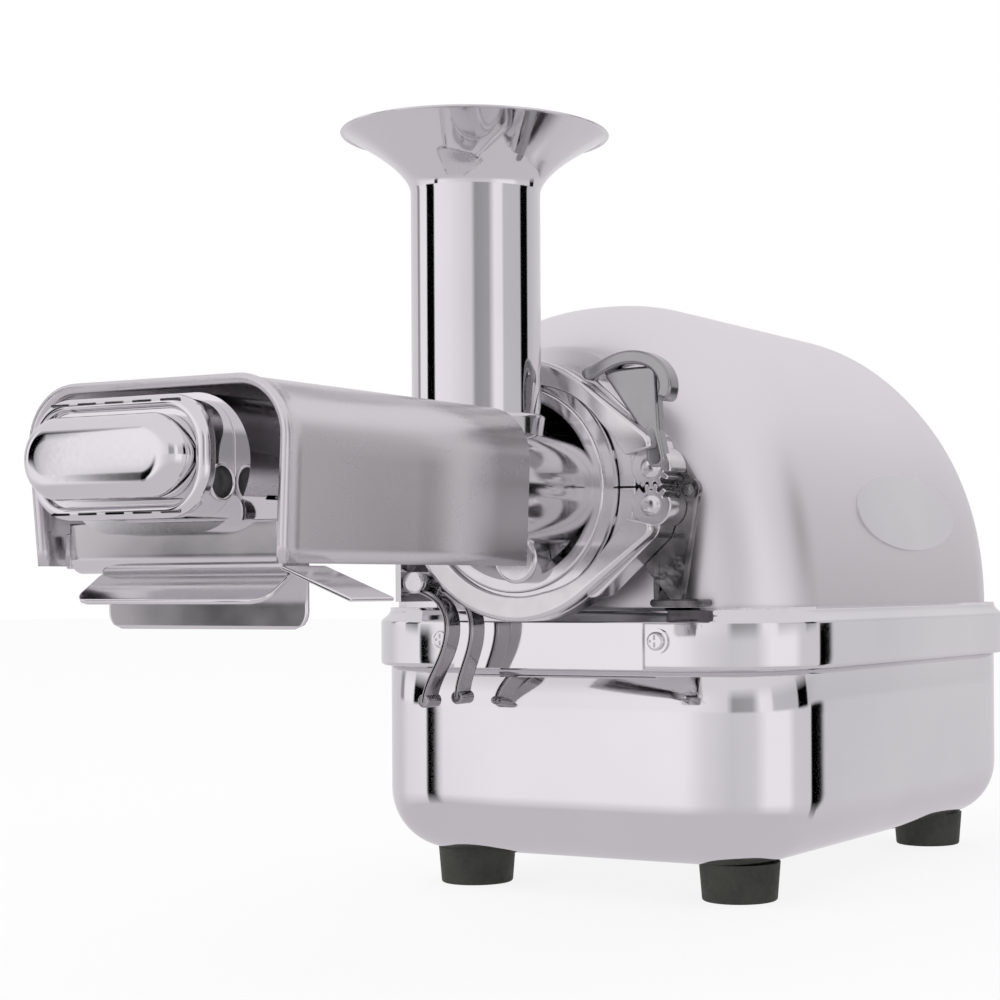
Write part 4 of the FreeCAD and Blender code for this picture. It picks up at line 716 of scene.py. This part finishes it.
leverLook = {"x": -40.0, "z": 119.6, "wide": 9.0, "sheet": 2.2, "eye": 4.0, "throw": 2.5, "turn": 8.0,
             "front": -26.9, "rear": -14.1,
             "bends": ((-1.0, -2.0), (6.0, -5.0), (11.5, -10.5), (12.6, -19.0), (8.5, -30.0), (4.2, -38.0),
                       (2.6, -43.6))}


def makeLever(name, node, front, swing):
    # the bends turned about the eye by the swing, swept as a strap, with the eye's belt and a bead on the end
    k = leverLook
    c, s = math.cos(math.radians(swing)), math.sin(math.radians(swing))
    path = [(k["x"] + dx * c - dz * s, k["z"] + dx * s + dz * c) for dx, dz in k["bends"]]
    strap = sweep(path, 60, front, front + k["wide"], k["sheet"])
    eye = slab(beltLoop([(k["x"], k["z"], k["eye"]), (k["x"] - k["throw"], k["z"], k["eye"])]), front + 0.1,
               front + k["wide"] - 0.1, 0.7)
    bead = slab(beltLoop([(*path[-1], k["sheet"] * 1.15)]), front + 0.2, front + k["wide"] - 0.2, 0.6)
    assemble(name, [strap, eye, bead], node, "lever")


cap = {"half": 28.4, "rise": 11.6, "z": 154.0, "front": -236.5, "back": -226.3, "roll": 5.6, "swell": 5.2,
       "flatInsets": (11.3, 9.0, 7.0)}


def makeCap():
    # a pill with a flat front whose edge rolls over by a quarter ellipse
    c = cap
    ends = [(side * (c["half"] - c["rise"]), c["z"], c["rise"]) for side in (-1, 1)]
    rows = [(inset, c["front"]) for inset in c["flatInsets"]]
    for v in np.linspace(0.08, math.pi / 2, 12):
        rows.append((c["roll"] * (1 - math.sin(v)), c["front"] + c["swell"] * (1 - math.cos(v))))
    rows += [(0.0, c["front"] + 6.0), (0.0, c["back"] - 0.6), (0.0, c["back"] - 0.3), (0.3, c["back"])]
    assemble("pulpCapPolished", [rowsAround(beltLoop(ends, 128), rows)], "pulp_cap")


def bentSheet(path, x0, x1, thick, corner=0.0):
    # half the thickness to either side of a path (y, z), its edges eased; the free end's corners are cut
    # back by a circle: corner less the root of its square less the square of how far a point is past the
    # circle's centre
    line = np.array(path, float)
    ahead = np.gradient(line, axis=0)
    ahead /= np.linalg.norm(ahead, axis=1, keepdims=True)
    side = np.stack([-ahead[:, 1], ahead[:, 0]], -1) * thick / 2
    run = np.r_[0, np.cumsum(np.hypot(*np.diff(line, axis=0).T))]
    past = np.clip(corner - (run[-1] - run), 0, corner)
    cut = (corner - np.sqrt(corner ** 2 - past ** 2))[:, None]
    lo, hi = x0 + cut, x1 - cut
    top, crown, low, belly = (line + side * k for k in (1.0, 1.1, -1.0, -1.1))
    across = [lo, lo + 0.25, lo + 0.6, hi - 0.6, hi - 0.25, hi]
    ring = [*zip(across, (top, crown, crown, crown, crown, top)),
            *zip(across[::-1], (low, belly, belly, belly, belly, low))]
    grid = np.stack([np.hstack(spot) for spot in ring], axis=1)
    grid[..., 1] += frontY
    return gridFaces(grid)


chute = {"y": -205.0, "left": -38.0, "right": 39.0, "top": 137.0, "low": 123.0, "flapLow": 114.0,
         "rearLow": 106.0, "rearHalf": 37.0, "sheet": 1.2, "corner": 5.0, "wingInner": 40.0,
         "wingOuter": 62.0, "wingDepth": 20.0}


def makeChute():
    # straight runs between two heights, joined by a quarter circle, each bent from one sheet
    c = chute
    y, low = c["y"], c["low"]
    t = np.linspace(0, 1, 14)[:, None]
    bend = arcPoints(y + 4.4, low + 4.4, 4.4, 180, 270, 10)
    down = np.array([y, c["top"]]) * (1 - t) + np.array([y, low + 4.6]) * t
    front = bentSheet([*down, *bend, (y + 6.0, low)], c["left"], c["right"], c["sheet"])
    slope = np.array([y + 2, low - 2.0]) * (1 - t) + np.array([y - 9, c["flapLow"]]) * t
    flap = bentSheet([(y + 6, low - 0.3), (y + 4, low - 0.9), *slope], c["left"] + 9, c["right"] + 2,
                     c["sheet"], c["corner"])
    drop = np.array([y + 15, low - 1.0]) * (1 - t) + np.array([y + 15, c["rearLow"]]) * t
    rear = bentSheet([(y + 10, low + 0.6), (y + 13.5, low + 0.3), *drop], -c["rearHalf"], c["rearHalf"],
                     c["sheet"], c["corner"])
    tray = slab(beltLoop([(-37.5, low + 0.6, 0.55), (38.5, low + 0.6, 0.55)], 24), y + 4.0, y + 21.0, 0.3)
    wing = slab(beltLoop([(c["wingInner"] - 1, low + 0.4, 0.6), (c["wingOuter"], c["flapLow"] + 0.6, 0.6)],
                         24),
                y + 1, y + 1 + c["wingDepth"], 0.35)
    tab = slab(beltLoop([(-40.5, low + 2, 1.2), (-40.5, low + 10, 1.2)], 24), y + 1, y + 4, 0.35)
    assemble("pulpChuteBent", [front, flap, rear, tray, wing, tab], "pulp_chute", "chute")


def boxLoop(x0, x1, z0, z1, corner, count=24):
    # a rectangle with round corners, as quarter circles about four centres
    spots = [(x1 - corner, z1 - corner, 0), (x0 + corner, z1 - corner, 90), (x0 + corner, z0 + corner, 180),
             (x1 - corner, z0 + corner, 270)]
    a = np.concatenate([np.radians(start + np.linspace(0, 90, count)) for x, z, start in spots])
    centres = np.repeat([[x, z] for x, z, start in spots], count, axis=0)
    n = np.stack([np.cos(a), np.sin(a)], -1)
    return lambda inset: centres + n * (corner - inset)


dish = {"front": -228.0, "back": -223.0, "half": 32.0, "low": 137.0, "high": 171.0, "corner": 14.0,
        "roll": 2.2, "ledge": 3.2, "recess": 1.9, "neckEnd": -212.0, "holeY": -217.5, "holeZ": 147.0,
        "notchPitch": 10.0, "notchHalf": 3.4, "notchRise": 0.35, "notchIn": 1.7,
        "holeRing": ((4.4, 0.1), (4.5, 0.5), (4.9, 0.75), (5.3, 0.5), (5.4, -0.4)),
        "holeShade": ((0.3, 0.25), (4.5, 0.22), (4.5, -0.4))}


def makeDish():
    # the dish rolls over its rim into a shallow recess behind the cap; a narrower neck joins the strainer
    d = dish
    front, back, ledge = d["front"], d["back"], d["ledge"]
    rows = [(ledge + 0.8, front + d["recess"]), (ledge + 0.3, front + d["recess"]),
            (ledge + 0.1, front + d["recess"] - 0.3), (ledge, front + 0.5), (ledge - 0.2, front + 0.12),
            (ledge - 0.5, front)]
    for v in np.linspace(0, math.pi / 2, 8):
        rows.append((d["roll"] * (1 - math.sin(v)), front + d["roll"] * (1 - math.cos(v))))
    rows += [(0.0, front + d["roll"] + 0.4), (0.0, back - 0.8), (0.0, back - 0.5), (0.5, back), (1.0, back)]
    rim = rowsAround(boxLoop(-d["half"], d["half"], d["low"], d["high"], d["corner"]), rows)
    neckLoop = boxLoop(-d["half"] + 3, d["half"] - 3, d["low"] + 0.5, d["high"] - 0.5, d["corner"] - 2)
    neck = slab(neckLoop, back - 0.3, d["neckEnd"], 0.4)
    # dark slabs in the rim's notches: painted shade standing in for the dark inside them
    notches = []
    for k in range(5):
        x = d["notchPitch"] * (k - 2)
        for z in (d["high"] - d["notchIn"], d["low"] + d["notchIn"]):
            wide, rise = d["notchHalf"], d["notchRise"]
            outline = boxLoop(x - wide, x + wide, z - rise, z + rise, 0.34, 6)
            notches.append(slab(outline, front - 0.12, front + 0.6, 0.1, 0.1))
    assemble("pulpDishPressed", [rim, neck], "pulp_housing")
    assemble("dishNotchesPaintedShade", notches, "pulp_housing", "bracket")
    # a ring round the pulp hole, and a black disc in it as painted shade for the dark inside the hole
    a = np.linspace(0, 2 * math.pi, 48, endpoint=False)[None]
    for name, finish, key in (("pulpHoleRing", "clamp", "holeRing"),
                              ("pulpHoleShade", "black_plastic", "holeShade")):
        profile = np.array(d[key])
        grid = np.stack([np.broadcast_to(d["half"] - 3 + profile[:, 1:2], (len(profile), 48)),
                         d["holeY"] + frontY + profile[:, :1] * np.cos(a),
                         d["holeZ"] + profile[:, :1] * np.sin(a)], -1)
        assemble(name, [gridFaces(grid)], "pulp_housing", finish)


makeClamp()
makePins()
makeBracket()
makeLever("latchLeverFrontBent", "latch_lever_front", leverLook["front"], 0)
makeLever("latchLeverRearBent", "latch_lever_rear", leverLook["rear"], leverLook["turn"])
makeCap()
makeDish()
makeChute()
print("clamp, levers and cap made")


studio = {"grey": 0.93, "keyPower": 9.0, "level": 1.0, "whiteFloor": 0.85, "floorHalf": 6.0, "turnPast": 2.0,
          "green": 0.975, "wallHeights": (0.02, 0.06), "roofHeights": (0.25, 0.45),
          "floorHeights": (-0.36, -0.14), "roof": (0.80, 0.78, 0.80, 1), "floorTone": (0.64, 0.615, 0.64, 1),
          "soft": (0.86, 0.85, 0.865, 1)}
highStops = [(0.0, 0.80), (0.10, 0.74), (0.155, 0.72), (0.162, 0.34), (0.178, 0.34), (0.186, 0.95),
             (0.237, 0.98), (0.242, 0.0), (0.288, 0.0), (0.293, 0.98), (0.37, 0.95), (0.485, 0.78),
             (0.505, 0.36), (0.57, 0.42), (0.60, 0.98), (0.637, 0.95), (0.648, 0.62), (0.744, 0.60),
             (0.749, 0.0), (0.794, 0.0), (0.799, 0.58), (0.87, 0.68), (1.0, 0.80)]
lowStops = [(0.0, 0.78), (0.16, 0.72), (0.21, 0.9), (0.294, 0.95), (0.298, 0.0), (0.314, 0.0), (0.317, 0.9),
            (0.324, 1.0), (0.345, 1.0), (0.41, 0.82), (0.50, 0.70), (0.575, 0.74), (0.62, 1.0), (0.70, 1.0),
            (0.73, 0.74), (0.811, 0.72), (0.815, 0.0), (0.844, 0.0), (0.847, 0.70), (0.93, 0.72), (1.0, 0.78)]


def lightPath(tree, *kinds):
    # 1 where the ray is of any of these kinds, the greatest of their values
    path = tree.nodes.new("ShaderNodeLightPath")
    value = path.outputs[kinds[0]]
    for kind in kinds[1:]:
        value = mathOf(tree, "MAXIMUM", value, path.outputs[kind])
    return value


def mixShaders(tree, factor, first, second):
    # first where the factor is 0 and second where it is 1
    mix = tree.nodes.new("ShaderNodeMixShader")
    for value, socket in zip((factor, first, second), mix.inputs):
        feed(tree, value, socket)
    return mix.outputs["Shader"]


def makeFloor():
    # white to the lens apart from a faint shadow; metal and glass see the tent through it
    mesh = bpy.data.meshes.new("studioFloor")
    r = studio["floorHalf"]
    mesh.from_pydata([(-r, -r, 0), (r, -r, 0), (r, r, 0), (-r, r, 0)], [], [(0, 1, 2, 3)])
    floor = bpy.data.objects.new("studioFloor", mesh)
    bpy.context.scene.collection.objects.link(floor)
    material, tree, shader, place = nodeTree("paleFloor")
    shader.inputs["Roughness"].default_value = 0.9
    shader.inputs["Specular IOR Level"].default_value = 0.1
    pale = blendColour(tree, noise(tree, place, 2.0), (studio["grey"],) * 3, (studio["grey"] + 0.02,) * 3)
    tree.links.new(pale, shader.inputs["Base Color"])
    glow = tree.nodes.new("ShaderNodeEmission")
    glow.inputs["Color"].default_value = (1, 1, 1, 1)
    clear = tree.nodes.new("ShaderNodeBsdfTransparent")
    seen = mixShaders(tree, studio["whiteFloor"], shader.outputs["BSDF"], glow.outputs["Emission"])
    out = next(n for n in tree.nodes if n.type == "OUTPUT_MATERIAL")
    lit = mixShaders(tree, lightPath(tree, "Is Camera Ray"), shader.outputs["BSDF"], seen)
    ends = mixShaders(tree, lightPath(tree, "Is Glossy Ray", "Is Transmission Ray"), lit,
                      clear.outputs["BSDF"])
    tree.links.new(ends, out.inputs["Surface"])
    mesh.materials.append(material)


def backdrop(tree, colour, level=1.0):
    # an even light of one colour, times its level
    light = tree.nodes.new("ShaderNodeBackground")
    feed(tree, colour, light.inputs["Color"])
    light.inputs["Strength"].default_value = level
    return light.outputs["Background"]


def makeWorld():
    # soft tent: tones by the angle round the object, one row for low rays and one for high, blended by the
    # ray's slope, with a roof tone above and a floor tone below; the angle runs from 0 to 1 once round
    world = bpy.data.worlds.new("softTent")
    bpy.context.scene.world = world
    world.use_nodes = True
    tree = world.node_tree
    tree.nodes.clear()
    out = tree.nodes.new("ShaderNodeOutputWorld")
    place = tree.nodes.new("ShaderNodeTexCoord")
    split = tree.nodes.new("ShaderNodeSeparateXYZ")
    tree.links.new(place.outputs["Generated"], split.inputs["Vector"])
    back = mathOf(tree, "MULTIPLY", split.outputs["Y"], -1.0)
    around = mathOf(tree, "ARCTAN2", split.outputs["X"], back)
    shifted = mathOf(tree, "SUBTRACT", around, math.radians(view["turn"] + studio["turnPast"]))
    turned = mathOf(tree, "WRAP", mathOf(tree, "DIVIDE", shifted, 2 * math.pi), 0.5, -0.5)
    across = mathOf(tree, "ADD", turned, 0.5)
    low, high = (rampOf(tree, across, [(position, (v, v * studio["green"], v)) for position, v in stops])
                 for stops in (lowStops, highStops))

    def blendByHeight(heights, first, second):
        return mixOf(tree, rangeOf(tree, split.outputs["Z"], *heights), first, second)

    walls = blendByHeight(studio["wallHeights"], low, high)
    roofed = blendByHeight(studio["roofHeights"], walls, studio["roof"])
    tent = backdrop(tree, blendByHeight(studio["floorHeights"], studio["floorTone"], roofed), studio["level"])
    shown = mixShaders(tree, lightPath(tree, "Is Camera Ray"), tent, backdrop(tree, (1, 1, 1, 1)))
    seen = lightPath(tree, "Is Camera Ray", "Is Glossy Ray", "Is Transmission Ray")
    tree.links.new(mixShaders(tree, seen, backdrop(tree, studio["soft"]), shown), out.inputs["Surface"])


def makeLamp(name, place, target, size, power):
    # a rectangular light turned from its place towards the target, unseen in reflections
    lamp = bpy.data.lights.new(name, "AREA")
    lamp.shape = "RECTANGLE"
    lamp.size, lamp.size_y = size
    lamp.energy = power
    item = bpy.data.objects.new(name, lamp)
    item.location = place
    item.rotation_euler = (Vector(target) - Vector(place)).to_track_quat("-Z", "Y").to_euler()
    item.visible_glossy = False
    bpy.context.scene.collection.objects.link(item)


makeFloor()
makeWorld()
makeLamp("keyPanel", (-0.9, -1.1, 1.5), (0, 0, 0.1), (1.4, 1.4), studio["keyPower"])
bpy.context.scene.view_settings.view_transform = "Standard"
print("studio set")
